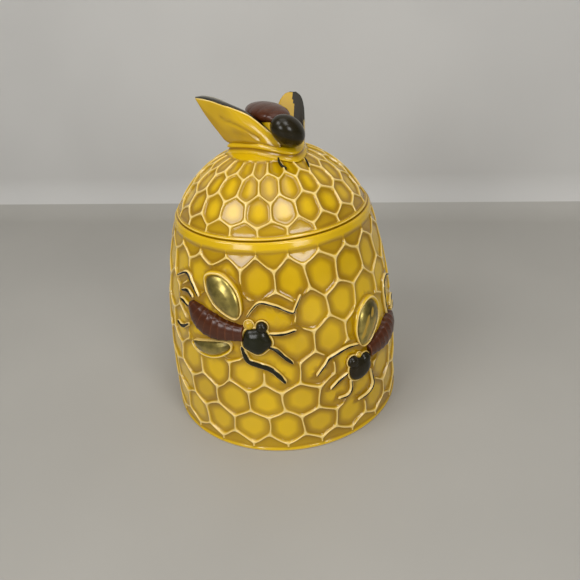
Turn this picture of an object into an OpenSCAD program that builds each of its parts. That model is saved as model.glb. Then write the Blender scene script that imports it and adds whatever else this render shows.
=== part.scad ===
// Honey pot covered in comb, with bees in relief and a lift-off lid whose knob is a bee.
// Sizes are in millimetres. The origin is the centre of the foot, +Z is up and -Y is the front.

/* [Pot] */
// Largest radius of the pot, over the ridges of the comb
body_r = 47.5; // [45:0.5:52]
// Radius of the rim that the lid sits on
rim_r = 37.6; // [36:0.2:40]
// Height of the rim above the table
rim_z = 84.5; // [78:0.5:96]
// How late the wall leans inwards, a higher number is later
lean_power = 2.8; // [2.2:0.1:3.6]
// Thickness of the wall, from the ridge tops to the honey
wall = 4.5; // [4.2:0.1:6]
// Thickness of the floor
floor_t = 6; // [5:0.5:9]
// Width of the flat rim
rim_w = 5; // [4.4:0.1:6]
// Height of the straight mouth below the rim
mouth_h = 7; // [6.6:0.1:9]
// Height of the plain collar between the comb and the rim
collar_h = 3; // [2:0.25:5]
// Height of the plain edge of the foot
foot_h = 1; // [0.6:0.1:2]
// Width of the ring that the pot stands on
foot_w = 7.5; // [5:0.5:12]
// Depth of the hollow under the pot
foot_recess = 1.5; // [1:0.25:2.5]
// Rounding where the wall meets the table
foot_round = 0.8; // [0.4:0.1:1.2]

/* [Comb] */
// Cells round the pot, and round the lid
cells = 22; // [18:1:26]
// Full rows of cells up the pot
pot_rows = 6; // [5:1:7]
// Full rows of cells up the lid
lid_rows = 3; // [2:1:3]
// Width of the ridges between the pot's cells
ridge_w = 1.1; // [0.8:0.1:1.6]
// Width of the slope from a ridge to the floor of its cell
bank_w = 1.1; // [0.7:0.1:1.5]
// Width of the ridges between the lid's cells
lid_ridge_w = 0.8; // [0.6:0.1:1.2]
// Width of the slope from a ridge to the floor of its cell on the lid
lid_bank_w = 0.6; // [0.4:0.1:0.9]
// Depth of the pot's cells
cell_depth = 1.2; // [0.8:0.1:1.5]
// Height of the swelling in the middle of a pot cell
cell_swell = 0.5; // [0.2:0.1:0.8]
// Depth of the lid's cells
lid_cell_depth = 0.8; // [0.5:0.1:1.1]
// Height of the swelling in the middle of a lid cell
lid_cell_swell = 0.4; // [0.2:0.1:0.6]
// Turn of the pot's comb about the upright, in degrees
comb_turn = 5.8; // [0:0.1:16]
// Turn of the lid's comb about the upright, in degrees
lid_comb_turn = -1.2; // [-8:0.1:8]

/* [Lid] */
// How far the lid's edge stands back from the pot's rim
lid_inset = 0.7; // [0.3:0.1:1.2]
// Height of the dome above the rim
lid_rise = 24; // [21:0.5:28]
// Thickness of the dome
lid_t = 4; // [3.4:0.1:5]
// Rounding of the lid's lower edge
lip_round = 0.8; // [0.4:0.1:1.1]
// Height of the plain edge below the lid's comb
lip_h = 1.2; // [1.2:0.1:2]
// Radius of the plain crown that carries the bee
crown_r = 13.6; // [13.2:0.1:14.4]
// Depth of the locating flange inside the pot's mouth
flange_h = 6; // [4:0.5:6.4]
// Thickness of the locating flange
flange_t = 3; // [2.4:0.1:3.6]
// Gap between the flange and the pot's mouth
flange_gap = 0.8; // [0.5:0.1:1.2]

/* [Relief bees] */
// How deep the bees are let into the wall, from the ridge tops
seat_depth = 1.8; // [1.6:0.1:2]
// Height of a relief abdomen over the ridge tops
abdomen_h = 2.4; // [1.8:0.1:3]
// Half width of a relief abdomen at its fullest
abdomen_w = 5; // [4.4:0.1:5.4]
// Rings along a relief abdomen
abdomen_rings = 8; // [6:1:9]
// Height of a relief head over the ridge tops
head_h = 2.6; // [2:0.1:3.2]
// Height of the swelling in the middle of a relief wing
wing_h = 1.8; // [1.4:0.1:2.2]
// Height of the raised edge round a relief wing
wing_edge_h = 0.9; // [0.6:0.1:1.2]
// Width of the raised edge round a relief wing
wing_edge_w = 1.9; // [1.6:0.1:2.2]
// Height of the relief legs over the ridge tops
leg_h = 0.7; // [0.5:0.1:1]
// Width of the relief legs
leg_w = 2; // [1.6:0.1:2.4]
// Length of a relief bee's abdomen, which the rest of the bee is drawn to
relief_bee_l = 23.6; // [21:0.2:25]
// Gap between the abdomen of a relief bee and its wings
bee_gap = 0.3; // [0.2:0.1:0.5]
// Where the left bees' necks are round the pot, in degrees from the front
left_bee_turn = -19.3; // [-24:0.1:-15]
// Where the left bees' necks are up the pot, in rows of cells
left_bee_row = 4.27; // [4.1:0.01:4.5]
// Where the right bees' necks are round the pot, in degrees from the front
right_bee_turn = 42.3; // [40:0.1:46]
// Where the right bees' necks are up the pot, in rows of cells
right_bee_row = 2.82; // [2.6:0.01:3]

/* [Knob bee] */
// Half length of the knob's thorax
thorax_l = 11; // [10:0.25:11.5]
// Half width of the knob's thorax
thorax_w = 7.8; // [7:0.2:8.4]
// Height of the thorax over the crown
thorax_h = 10.5; // [9:0.25:11.5]
// Half length of the knob's abdomen
knob_abdomen_l = 10.5; // [9:0.25:12]
// Half width of the knob's abdomen
knob_abdomen_w = 5; // [4.4:0.1:5.6]
// Half height of the knob's abdomen
knob_abdomen_h = 3.9; // [3.2:0.1:4.4]
// Half width of the knob's head
knob_head_r = 6.2; // [5.6:0.1:6.8]
// Length of the knob's wings, from the middle of the back
knob_wing_l = 24.1; // [21:0.5:27]
// How high the right wing rises, as a share of the left one
right_wing_rise = 0.8; // [0.7:0.05:1]

/* [Hidden] */

// The comb runs from the foot to the collar, with a cut row at each end.
comb_low = foot_h;
comb_top = rim_z - collar_h;
// Shares of a row by which the middles of the cut rows lie beyond the comb's two edges
low_row_cut = 0.105;
top_row_cut = 0.15;
row_pitch = (comb_top - comb_low) / (pot_rows + 1 - low_row_cut - top_row_cut);
cell_w = 2 * PI * body_r / cells;
ridge_share = 1 - ridge_w / cell_w;
bank_share = 1 - (ridge_w + 2 * bank_w) / cell_w;
// Depth of the cells of a cut row, as a share of a full one
cut_row_depth = 0.6;

rim_round = 0.6;
mouth_r = rim_r - rim_w;
cavity_corner = 7;
cavity_steps = 10;
corner_steps = 5;
shoulder_h = 2;
foot_draft = 1;
round_fn = 96;
foot_ring_r = body_r - foot_round - foot_w;

// The dome is part of a sphere that passes through the lid's edge and its top.
lid_r = rim_r - lid_inset;
dome_r = (lid_r * lid_r + lid_rise * lid_rise) / (2 * lid_rise);
dome_z = rim_z + lid_rise - dome_r;
lid_edge_angle = asin(lid_r / dome_r);
lid_arc = dome_r * lid_edge_angle * PI / 180;
crown_s = lid_arc * (1 - asin(crown_r / dome_r) / lid_edge_angle);
lid_comb_low = lip_h;
crown_gap = 0.35;
lid_comb_top = crown_s - crown_gap;
lid_low_cut = -0.02;
lid_top_cut = -0.433;
lid_pitch = (lid_comb_top - lid_comb_low) / (lid_rows - lid_low_cut - lid_top_cut);
// Width of a lid cell halfway up the dome, where the shares of its ridge and slope are set
lid_cell_w = 2 * PI * dome_r * sin(lid_edge_angle * 0.59) / cells;
lid_ridge_share = 1 - lid_ridge_w / lid_cell_w;
lid_bank_share = 1 - (lid_ridge_w + 2 * lid_bank_w) / lid_cell_w;
crown_lap = 1;
flange_r = mouth_r - flange_gap;
lid_hollow_r = flange_r - flange_t;

pot_color = "#c99a1e";
black_color = "#23261f";
brown_color = "#5f2f22";
gilt_color = "#8f8236";

// Radius over the ridge tops at height z
function pot_r(z) = body_r - (body_r - rim_r) * pow(max(z, 0) / rim_z, lean_power);

// A point at angle a from the front, at radius r and height z
function around(a, r, z) = [r * sin(a), -r * cos(a), z];

function quad(a, b, c, d) = [[a, b, c], [a, c, d]];
function middle(list) = [for (i = [0:2]) sum([for (p = list) p[i]]) / len(list)];
function sum(list, i = 0) = i == len(list) ? 0 : list[i] + sum(list, i + 1);

// Corners of a cell, clockwise from its top, as shares of its half width and half height
corner_x = [0, 1, 1, 0, -1, -1];
corner_y = [1, 0.5, -0.5, -1, -0.5, 0.5];

// Honeycomb round a body of revolution. s runs up the wall from s_low to s_top, row_s(i) is the
// middle of row i, half is half a cell's height, and at(a, s, depth) is a point of the wall.
// low_rings and top_rings are [r, z] of the plain rings below and above, from the comb outwards.
module comb_solid(rows, row_s, half, s_low, s_top, turn, shares, insets, depths, at,
                  low_rings, top_rings) {
    n = cells;
    step = 180 / n;
    function depth(i) = (i == 0 || i == rows - 1) ? cut_row_depth : 1;
    function held(s, inset) = min(max(s, s_low + inset), s_top - inset);
    function corner_s(i, k, share, inset) = held(row_s(i) + share * half * corner_y[k], inset);
    function cell_a(i, j) = turn + (2 * j + i % 2) * step;
    function ring_of(i, j, share, inset, d) = [for (k = [0:5])
        at(cell_a(i, j) + share * step * corner_x[k], corner_s(i, k, share, inset), d)];
    function centre_s(i) = sum([for (k = [0:5]) corner_s(i, k, shares[1], insets[1])]) / 6;
    cell_points = [for (i = [0:rows - 1], j = [0:n - 1])
        each concat(
            [at(cell_a(i, j), centre_s(i), (depths[0] - depths[1]) * depth(i))],
            ring_of(i, j, shares[1], insets[1], depths[0] * depth(i)),
            ring_of(i, j, shares[0], insets[0], 0))];
    low_edge = [for (m = [0:2 * n - 1]) at(turn + m * step, s_low, 0)];
    top_edge = [for (m = [0:2 * n - 1]) at(turn + m * step, s_top, 0)];
    rings = [for (ring = low_rings, m = [0:2 * n - 1]) around(turn + m * step, ring[0], ring[1])];
    caps = [for (ring = top_rings, m = [0:2 * n - 1]) around(turn + m * step, ring[0], ring[1])];
    base = len(cell_points);
    top = base + 2 * n;
    below = top + 2 * n;
    above = below + len(rings);

    function cell(i, j) = 13 * (i * n + (j + n) % n);
    function bed(i, j, k) = cell(i, j) + 1 + k % 6;
    function rim(i, j, k) = cell(i, j) + 7 + k % 6;
    function mark(i, j, m) = (2 * j + i % 2 + m + 2 * n) % (2 * n);
    function right_up(i, j) = i % 2 == 0 ? j : j + 1;

    cell_faces = [for (i = [0:rows - 1], j = [0:n - 1], k = [0:5])
        each concat([[cell(i, j), bed(i, j, k), bed(i, j, k + 1)]],
                    quad(bed(i, j, k), rim(i, j, k), rim(i, j, k + 1), bed(i, j, k + 1)))];
    side_ridges = [for (i = [0:rows - 1], j = [0:n - 1])
        each quad(rim(i, j, 1), rim(i, j + 1, 5), rim(i, j + 1, 4), rim(i, j, 2))];
    slant_ridges = [for (i = [0:rows - 2], j = [0:n - 1]) let (r = right_up(i, j), l = r - 1)
        each concat(
            quad(rim(i, j, 0), rim(i + 1, r, 4), rim(i + 1, r, 3), rim(i, j, 1)),
            quad(rim(i, j, 5), rim(i + 1, l, 3), rim(i + 1, l, 2), rim(i, j, 0)),
            [[rim(i, j, 0), rim(i + 1, l, 2), rim(i + 1, r, 4)],
             [rim(i, j, 1), rim(i + 1, r, 3), rim(i, j + 1, 5)]])];
    last = rows - 1;
    top_faces = [for (j = [0:n - 1])
        each concat(
            quad(rim(last, j, 0), top + mark(last, j, 0), top + mark(last, j, 1), rim(last, j, 1)),
            quad(rim(last, j, 5), top + mark(last, j, -1), top + mark(last, j, 0), rim(last, j, 0)),
            [[rim(last, j, 1), top + mark(last, j, 1), rim(last, j + 1, 5)]])];
    low_faces = [for (j = [0:n - 1])
        each concat(
            quad(rim(0, j, 3), rim(0, j, 2), base + mark(0, j, 1), base + mark(0, j, 0)),
            quad(rim(0, j, 4), rim(0, j, 3), base + mark(0, j, 0), base + mark(0, j, -1)),
            [[rim(0, j, 2), rim(0, j + 1, 4), base + mark(0, j, 1)]])];
    function band(low, high) = [for (m = [0:2 * n - 1]) let (m2 = (m + 1) % (2 * n))
        each quad(low + m, high + m, high + m2, low + m2)];
    low_starts = [base, for (i = [0:len(low_rings) - 1]) below + 2 * n * i];
    top_starts = [top, for (i = [0:len(top_rings) - 1]) above + 2 * n * i];
    bands = concat(
        [for (i = [1:len(low_rings)]) each band(low_starts[i], low_starts[i - 1])],
        [for (i = [1:len(top_rings)]) each band(top_starts[i - 1], top_starts[i])]);
    ends = [[for (m = [0:2 * n - 1]) low_starts[len(low_rings)] + m],
            [for (m = [2 * n - 1:-1:0]) top_starts[len(top_rings)] + m]];
    polyhedron(
        points = concat(cell_points, low_edge, top_edge, rings, caps),
        faces = concat(cell_faces, side_ridges, slant_ridges, top_faces, low_faces, bands, ends));
}

// A closed skin through rings of points, which all have the same number of points. It ends in the
// two given points, and its faces are turned outwards whichever way the rings run.
module skin(rings, first, last) {
    n = len(rings[0]);
    count = len(rings);
    points = concat([for (ring = rings) each ring], [first, last]);
    sides = [for (i = [0:count - 2], j = [0:n - 1]) let (k = (j + 1) % n)
        each quad(i * n + j, (i + 1) * n + j, (i + 1) * n + k, i * n + k)];
    starts = [for (j = [0:n - 1]) [n * count, j, (j + 1) % n]];
    finishes = [for (j = [0:n - 1])
        [n * count + 1, n * (count - 1) + (j + 1) % n, n * (count - 1) + j]];
    faces = concat(sides, starts, finishes);
    swept = sum([for (f = faces) cross(points[f[0]], points[f[1]]) * points[f[2]]]);
    polyhedron(points, swept < 0 ? faces : [for (f = faces) [f[0], f[2], f[1]]]);
}

// Pot

module pot_outside() {
    comb_solid(
        rows = pot_rows + 2,
        row_s = function (i) comb_low + (i - low_row_cut) * row_pitch,
        half = row_pitch * 2 / 3,
        s_low = comb_low, s_top = comb_top, turn = comb_turn,
        shares = [ridge_share, bank_share],
        insets = [ridge_w / 2, (ridge_w + bank_w) / 2],
        depths = [cell_depth, cell_swell],
        at = function (a, s, d) around(a, pot_r(s) - d, s),
        low_rings = [[body_r - foot_round, 0]],
        top_rings = [[pot_r(rim_z - rim_round), rim_z - rim_round], [rim_r - rim_round, rim_z]]);
}

module pot_cavity() {
    neck_z = rim_z - mouth_h;
    low = floor_t + cavity_corner;
    high = neck_z - shoulder_h;
    floor_r = pot_r(low) - wall;
    corner = [for (i = [0:corner_steps - 1]) let (t = i * 90 / corner_steps)
        [floor_r - cavity_corner + cavity_corner * sin(t), low - cavity_corner * cos(t)]];
    side = [for (i = [0:cavity_steps]) let (z = low + (high - low) * i / cavity_steps)
        [pot_r(z) - wall, z]];
    rotate_extrude($fn = round_fn)
        polygon(concat([[0, floor_t]], corner, side,
                       [[mouth_r, neck_z], [mouth_r, rim_z + 1], [0, rim_z + 1]]));
}

module foot_hollow() {
    translate([0, 0, -1])
        cylinder(r1 = foot_ring_r, r2 = foot_ring_r - foot_draft, h = foot_recess + 1, $fn = round_fn);
}

module pot_shell() {
    color(pot_color)
        difference() {
            pot_outside();
            pot_cavity();
            foot_hollow();
            for (turn = [0, 180]) {
                left_bee(turn) bee_seat(true);
                right_bee(turn) bee_seat(false);
            }
        }
}

// Relief bees. Their outlines are drawn on the wall, in millimetres right of and above the neck, for
// an abdomen 23.6 long.

bee_size = relief_bee_l / 23.6;
leg_clear = bee_gap + 0.5;

function bezier(p, t) = p[0] * pow(1 - t, 2) + p[1] * 2 * t * (1 - t) + p[2] * t * t;
function slope(p, t) = (p[1] - p[0]) * (1 - t) + (p[2] - p[1]) * t;
function unit(v) = v / norm(v);
function aside(v) = [-v[1], v[0]];

// Half width of an abdomen at t along its spine, from 0 at the neck to 1 at the tail
function abdomen_half(t) = abdomen_w * sqrt(sin(180 * (0.17 + 0.75 * t)));

// The middle of a wing, which stands off the abdomen's edge towards lean
function off_abdomen(spine, t, lean, stand) = bezier(spine, t) + lean * (abdomen_half(t) + stand);

// The roots of legs on the head, on a side of the abdomen (1 or -1) and behind the tail
function head_root(at, size, angle) =
    at + [(size[0] + leg_clear) * cos(angle), (size[1] + leg_clear) * sin(angle)];
function side_root(spine, t, side) = bezier(spine, t)
    + aside(unit(slope(spine, t))) * side * (abdomen_half(t) + leg_clear + leg_w / 4);
function tail_root(spine) = bezier(spine, 1) + unit(slope(spine, 1)) * leg_clear;

left_spine = bee_size * [[0, 0.3], [-12, -0.2], [-23.6, 6.4]];
left_head = bee_size * [5.6, -2];
left_head_size = bee_size * [5, 4.9];
left_eye = bee_size * [7.6, 3.4];
left_wing_lean = unit([0.12, 1]);
left_wing = off_abdomen(left_spine, 0.39, left_wing_lean, bee_gap + bee_size * 8.1);
left_wing_angle = 128;
left_lower_lean = unit([-0.1, -1]);
left_lower_wing = off_abdomen(left_spine, 0.54, left_lower_lean, bee_gap + bee_size * 3.3);
left_legs = [
    [head_root(left_head, left_head_size, 115), [6.9, 11.3], [12.9, 9.4], [18.8, 7], [23.1, 12.9]],
    [head_root(left_head, left_head_size, 22), [15, -0.2], [20.1, 0.8]],
    [head_root(left_head, left_head_size, -35), [13.8, -7.8], [17.9, -11.9]],
    [head_root(left_head, left_head_size, -130), [1.9, -11.1], [7.5, -12.8], [14.4, -19.5]],
    [side_root(left_spine, 0.79, -1), [-23.1, 15.4], [-27.1, 17.4], [-35.6, 13.9]],
    [side_root(left_spine, 0.97, -1), [-26.4, 11], [-30.8, 10.2]],
    [tail_root(left_spine), [-28.8, 5.8], [-33.8, 5.4]],
    [side_root(left_spine, 0.93, 1), [-30.9, -4.2], [-35.6, -3.1]]
];

right_spine = bee_size * [[1.2, -0.2], [12, 0.6], [23.6, 4.8]];
right_head = bee_size * [-4.6, -4.8];
right_head_size = bee_size * [5.6, 4.5];
right_eye = bee_size * [-8.2, -0.6];
right_wing_lean = unit([-0.1, 1]);
right_wing = off_abdomen(right_spine, 0.1, right_wing_lean, bee_gap + bee_size * 7.9);
right_wing_angle = 61;
right_legs = [
    [head_root(right_head, right_head_size, 75), [-4.4, 3], [-10.9, 4.4], [-17.3, 3.6], [-23.8, -2.1]],
    [head_root(right_head, right_head_size, 185), [-14.6, -6.9], [-19, -9.1]],
    [head_root(right_head, right_head_size, 225), [-10.2, -13], [-15, -15.8]],
    [head_root(right_head, right_head_size, -40), [2.8, -14.6], [-4, -18.4], [-11.3, -19.6]],
    [side_root(right_spine, 0.7, 1), [16.4, 13.4], [17.6, 20], [21.3, 22.3], [28, 19.6]],
    [side_root(right_spine, 0.95, 1), [26.4, 10], [30.8, 9.6]],
    [tail_root(right_spine), [28.8, 4.4], [33.8, 4.6]],
    [side_root(right_spine, 0.93, -1), [30.9, -4.6], [35.6, -4.2]]
];

wing_size = bee_size * [9.2, 5.3];
lower_wing_size = bee_size * [8.6, 4.6];
lower_wing_angle = 192;
lower_wing_near = bee_size * 1;
eye_size = bee_size * [2.2, 2.1];

// $bee_a and $bee_z are the place of the neck that a piece is drawn from.
function on_wall(p, h) = let (z = $bee_z + p[1])
    around($bee_a + p[0] / pot_r($bee_z) * 180 / PI, pot_r(z) + h, z);

module left_bee(turn) {
    $bee_a = left_bee_turn + turn;
    $bee_z = comb_low + left_bee_row * row_pitch;
    children();
}

module right_bee(turn) {
    $bee_a = right_bee_turn + turn;
    $bee_z = comb_low + right_bee_row * row_pitch;
    children();
}

// A swelling on the wall with an oval outline. levels are [share of the outline, height, growth,
// shift], where shift moves the ring along lean. near is the half width on the side towards the
// abdomen, where it isn't the same as the far side.
module oval_relief(at, size, angle, levels, points, lean = [0, 0], near = 0) {
    along = [cos(angle), sin(angle)];
    function side(t, grow) = (sin(t) > 0 || near == 0 ? size[1] : near) + grow;
    rings = [for (level = levels) [for (j = [0:points - 1]) let (t = 360 * j / points,
            p = along * (size[0] + level[2]) * cos(t) + aside(along) * side(t, level[2]) * sin(t))
        on_wall(at + p * level[0] + lean * level[3], level[1])]];
    skin(rings, on_wall(at, levels[0][1]), on_wall(at, -seat_depth));
}

module relief_abdomen(spine) {
    stations = 2 * abdomen_rings;
    groove = 0.93;
    edge_h = 0.2;
    arch = [for (t = [0:45:180]) [cos(t), sin(t)]];
    function section(i) = let (t = i / stations, w = abdomen_half(t) * (i % 2 == 0 ? groove : 1),
                               across = aside(unit(slope(spine, t))), at = bezier(spine, t))
        concat([for (p = arch) on_wall(at + across * w * p[0],
                                       edge_h + (abdomen_h - edge_h) * w / abdomen_w * p[1])],
               [on_wall(at - across * w, -seat_depth), on_wall(at + across * w, -seat_depth)]);
    rings = [for (i = [0:stations]) section(i)];
    skin(rings, middle(rings[0]), middle(rings[stations]));
}

module relief_head(at, size, eye) {
    edge_h = 0.3;
    oval_relief(at, size, 0, [[0.35, head_h, 0, 0], [0.7, head_h * 0.78, 0, 0], [1, edge_h, 0, 0],
                              [1, -seat_depth, 0, 0]], points = 12);
    oval_relief(eye, eye_size, 0, [[0.5, head_h * 0.8, 0, 0], [1, edge_h, 0, 0],
                                   [1, -seat_depth, 0, 0]], points = 8);
}

// A wing has a raised edge, which is widest on the side that it leans to and is a hair wide by the
// abdomen. groove_h is the height of the gilt where it meets the edge.
module relief_wing(at, size, angle, lean, near = 0) {
    thin = bee_gap;
    grow = (wing_edge_w + thin) / 2;
    shift = (wing_edge_w - thin) / 2;
    groove_h = 0.3;
    oval_relief(at, size, angle, [[0.5, wing_h, 0, 0], [1, groove_h, 0, 0],
                                  [1, wing_edge_h, grow * 0.4, shift * 0.4], [1, 0, grow, shift],
                                  [1, -seat_depth, grow, shift]], 14, lean, near);
}

module relief_leg(path) {
    last = len(path) - 1;
    crest = 0.5;
    toe = 0.6;
    function run(i) = unit(path[min(i + 1, last)] - path[max(i - 1, 0)]);
    function section(i) = let (across = aside(run(i)) * leg_w / 2 * (i == last ? toe : 1))
        [on_wall(path[i] - across, -seat_depth), on_wall(path[i] - across * crest, leg_h),
         on_wall(path[i] + across * crest, leg_h), on_wall(path[i] + across, -seat_depth)];
    rings = [for (i = [0:last]) section(i)];
    skin(rings, middle(rings[0]), middle(rings[last]));
}

module bee_abdomen(left) {
    relief_abdomen(left ? left_spine : right_spine);
}

module bee_head(left) {
    if (left) relief_head(left_head, left_head_size, left_eye);
    else relief_head(right_head, right_head_size, right_eye);
}

module bee_wing(left) {
    if (left) relief_wing(left_wing, wing_size, left_wing_angle, left_wing_lean);
    else relief_wing(right_wing, wing_size, right_wing_angle, right_wing_lean);
}

module bee_lower_wing() {
    relief_wing(left_lower_wing, lower_wing_size, lower_wing_angle, left_lower_lean, lower_wing_near);
}

module bee_legs(left) {
    for (leg = left ? left_legs : right_legs)
        relief_leg([leg[0], for (i = [1:len(leg) - 1]) bee_size * leg[i]]);
}

// The space that a whole bee takes in the wall
module bee_seat(left) {
    bee_abdomen(left);
    bee_head(left);
    bee_wing(left);
    if (left) bee_lower_wing();
    bee_legs(left);
}

module abdomen_piece(left) { color(brown_color) bee_abdomen(left); }
module head_piece(left) { color(black_color) bee_head(left); }
module wing_piece(left) { color(gilt_color) bee_wing(left); }
module lower_wing_piece() { color(gilt_color) bee_lower_wing(); }
module legs_piece(left) { color(black_color) bee_legs(left); }

module front_left_abdomen() { left_bee(0) abdomen_piece(true); }
module front_left_head() { left_bee(0) head_piece(true); }
module front_left_wing_upper() { left_bee(0) wing_piece(true); }
module front_left_wing_lower() { left_bee(0) lower_wing_piece(); }
module front_left_legs() { left_bee(0) legs_piece(true); }

module back_left_abdomen() { left_bee(180) abdomen_piece(true); }
module back_left_head() { left_bee(180) head_piece(true); }
module back_left_wing_upper() { left_bee(180) wing_piece(true); }
module back_left_wing_lower() { left_bee(180) lower_wing_piece(); }
module back_left_legs() { left_bee(180) legs_piece(true); }

module front_right_abdomen() { right_bee(0) abdomen_piece(false); }
module front_right_head() { right_bee(0) head_piece(false); }
module front_right_wing() { right_bee(0) wing_piece(false); }
module front_right_legs() { right_bee(0) legs_piece(false); }

module back_right_abdomen() { right_bee(180) abdomen_piece(false); }
module back_right_head() { right_bee(180) head_piece(false); }
module back_right_wing() { right_bee(180) wing_piece(false); }
module back_right_legs() { right_bee(180) legs_piece(false); }

// Lid

// A point of the dome at angle a and s up the arc from its edge, d below the ridge tops
function on_dome(a, s, d) = let (tilt = lid_edge_angle * (1 - s / lid_arc), r = dome_r - d)
    around(a, r * sin(tilt), dome_z + r * cos(tilt));

module dome_ball(inset = 0) {
    translate([0, 0, dome_z]) sphere(r = dome_r - inset, $fn = round_fn);
}

module lid_shell() {
    color(pot_color)
        difference() {
            union() {
                comb_solid(
                    rows = lid_rows + 1,
                    row_s = function (i) lid_comb_low + (i - lid_low_cut) * lid_pitch,
                    half = lid_pitch * 2 / 3,
                    s_low = lid_comb_low, s_top = lid_comb_top, turn = lid_comb_turn,
                    shares = [lid_ridge_share, lid_bank_share],
                    insets = [lid_ridge_w / 2, (lid_ridge_w + lid_bank_w) / 2],
                    depths = [lid_cell_depth, lid_cell_swell],
                    at = function (a, s, d) on_dome(a, s, d),
                    low_rings = [[lid_r, rim_z + lip_round], [lid_r - lip_round, rim_z]],
                    top_rings = [[crown_r - crown_lap, on_dome(0, lid_comb_top, 0)[2]]]);
                intersection() {
                    dome_ball();
                    translate([0, 0, rim_z + lid_rise / 2])
                        cylinder(r = crown_r, h = lid_rise, $fn = round_fn);
                }
                translate([0, 0, rim_z - flange_h])
                    cylinder(r = flange_r, h = flange_h + 1, $fn = round_fn);
            }
            intersection() {
                dome_ball(lid_t);
                translate([0, 0, rim_z - flange_h - 1])
                    cylinder(r = lid_hollow_r, h = flange_h + lid_rise + 2, $fn = round_fn);
            }
        }
}

// Knob bee, which faces the front and 30 degrees to the right. Its wings come first: the thorax is
// moulded between them, and the abdomen lies on top of all three.

heading = [0.5, -0.866];
beside = [0.866, 0.5];
crown_z = dome_z + dome_r;
back_ahead = 2;
back_at = [0, -back_ahead];
thorax_right = 1.5;
thorax_ahead = 3;
thorax_at = [thorax_right, -thorax_ahead];
thorax_root = 4;
thorax_foot_h = 1.4;
thorax_foot_lap = 0.4;
head_right = 7.6;
head_ahead = 12.8;
head_rise = 7.1;
knob_head_at = [head_right, -head_ahead, crown_z + head_rise];
abdomen_left = 0.4;
abdomen_behind = 2;
abdomen_rise = 10;
knob_abdomen_at = [-abdomen_left, abdomen_behind, crown_z + abdomen_rise];
knob_head_tilt = -16;
knob_abdomen_tilt = -6;
knob_ripple = 0.06;

// Points of the left wing, from the back to the tip: front edge, back edge, keel and root of the
// keel, as shares of the wing's length from the axis and over the crown
wing_front = [[0.02, -0.35, 0.29], [-0.22, -0.29, 0.49], [-0.47, -0.25, 0.61], [-0.6, -0.23, 0.655],
              [-0.72, -0.2, 0.7], [-0.87, -0.12, 0.74], [-0.98, -0.04, 0.755]];
wing_back = [[-0.15, 0.13, 0.33], [-0.28, 0.2, 0.42], [-0.5, 0.25, 0.55], [-0.62, 0.25, 0.63],
             [-0.74, 0.2, 0.7], [-0.87, 0.14, 0.75], [-0.98, 0.04, 0.765]];
wing_keel = [[0.02, -0.4, 0.06], [-0.17, -0.39, 0.07], [-0.43, -0.365, 0.09], [-0.6, -0.33, 0.12],
             [-0.71, -0.27, 0.27], [-0.86, -0.16, 0.49], [-0.985, -0.03, 0.72]];
wing_root = [[-0.07, -0.08, -0.16], [-0.2, -0.08, -0.12], [-0.38, -0.1, -0.03], [-0.56, -0.12, 0.12],
             [-0.68, -0.03, 0.35], [-0.83, 0.02, 0.565], [-0.98, 0.01, 0.73]];
// How far the top of a wing bulges between its front edge and its back edge, as a share of its width
wing_bulge = 0.08;

function wing_point(p) = [p[0], p[1], p[2]] * knob_wing_l + [0, 0, crown_z];
function wing_crest(front, back) = front * 0.7 + back * 0.3 + [0, 0, norm(back - front) * wing_bulge];
wing_sections = [for (i = [0:len(wing_front) - 1])
    let (front = wing_point(wing_front[i]), back = wing_point(wing_back[i]))
    [front, wing_crest(front, back), back, wing_point(wing_root[i]), wing_point(wing_keel[i])]];

// The other wing, mirrored across the bee's back and flatter
function other_side(p) = let (flat = [p[0], p[1]] - back_at,
                              m = 2 * (flat * heading) * heading - flat + back_at)
    [m[0], m[1], crown_z + (p[2] - crown_z) * (p[2] > crown_z ? right_wing_rise : 1)];

module wing_form(sections) {
    tip = len(sections) - 1;
    skin(sections, middle(sections[0]), middle(sections[tip]));
}

module left_wing_form() { wing_form(wing_sections); }
module right_wing_form() {
    wing_form([for (section = wing_sections) [for (p = section) other_side(p)]]);
}

module knob_oval(at, along, size, tilt, stations, points, ripple = 0) {
    side = aside(along);
    rings = [for (i = [1:stations - 1]) let (
            t = 180 * i / stations, w = sin(t) * (i % 2 == 0 ? 1 - ripple : 1), x = -cos(t) * size[0])
        [for (j = [0:points - 1]) let (u = 360 * j / points, q = size[1] * w * cos(u))
            at + [along[0] * x + side[0] * q, along[1] * x + side[1] * q,
                  size[2] * w * sin(u) + x * tan(tilt)]]];
    tail = [along[0] * size[0], along[1] * size[0], size[0] * tan(tilt)];
    skin(rings, at - tail, at + tail);
}

module knob_abdomen_form() {
    knob_oval(knob_abdomen_at, heading, [knob_abdomen_l, knob_abdomen_w, knob_abdomen_h],
              knob_abdomen_tilt, stations = 12, points = 10, ripple = knob_ripple);
}

module knob_head_form() {
    knob_oval(knob_head_at, beside, knob_head_r * [1, 0.92, 0.93], knob_head_tilt,
              stations = 8, points = 12);
}

// The thorax overhangs its foot on the crown, has a ledge all round and draws in towards the back
module thorax_form() {
    levels = [[0.86, -thorax_root], [0.86, -thorax_foot_h], [1, -thorax_foot_lap],
              [0.97, thorax_h * 0.12], [0.8, thorax_h * 0.5], [0.64, thorax_h * 0.85],
              [0.4, thorax_h]];
    function point(share, t) =
        thorax_at + (heading * thorax_l * cos(t) + beside * thorax_w * sin(t)) * share;
    rings = [for (level = levels) [for (t = [0:30:330])
        [each point(level[0], t), crown_z + level[1]]]];
    skin(rings, [each thorax_at, crown_z - thorax_root], [each thorax_at, crown_z + thorax_h]);
}

module knob_thorax() {
    color(pot_color)
        difference() {
            thorax_form();
            dome_ball();
            knob_head_form();
            left_wing_form();
            right_wing_form();
        }
}

module knob_abdomen() {
    color(brown_color)
        difference() {
            knob_abdomen_form();
            thorax_form();
            left_wing_form();
            right_wing_form();
        }
}

module knob_head() {
    color(black_color) knob_head_form();
}

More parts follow.
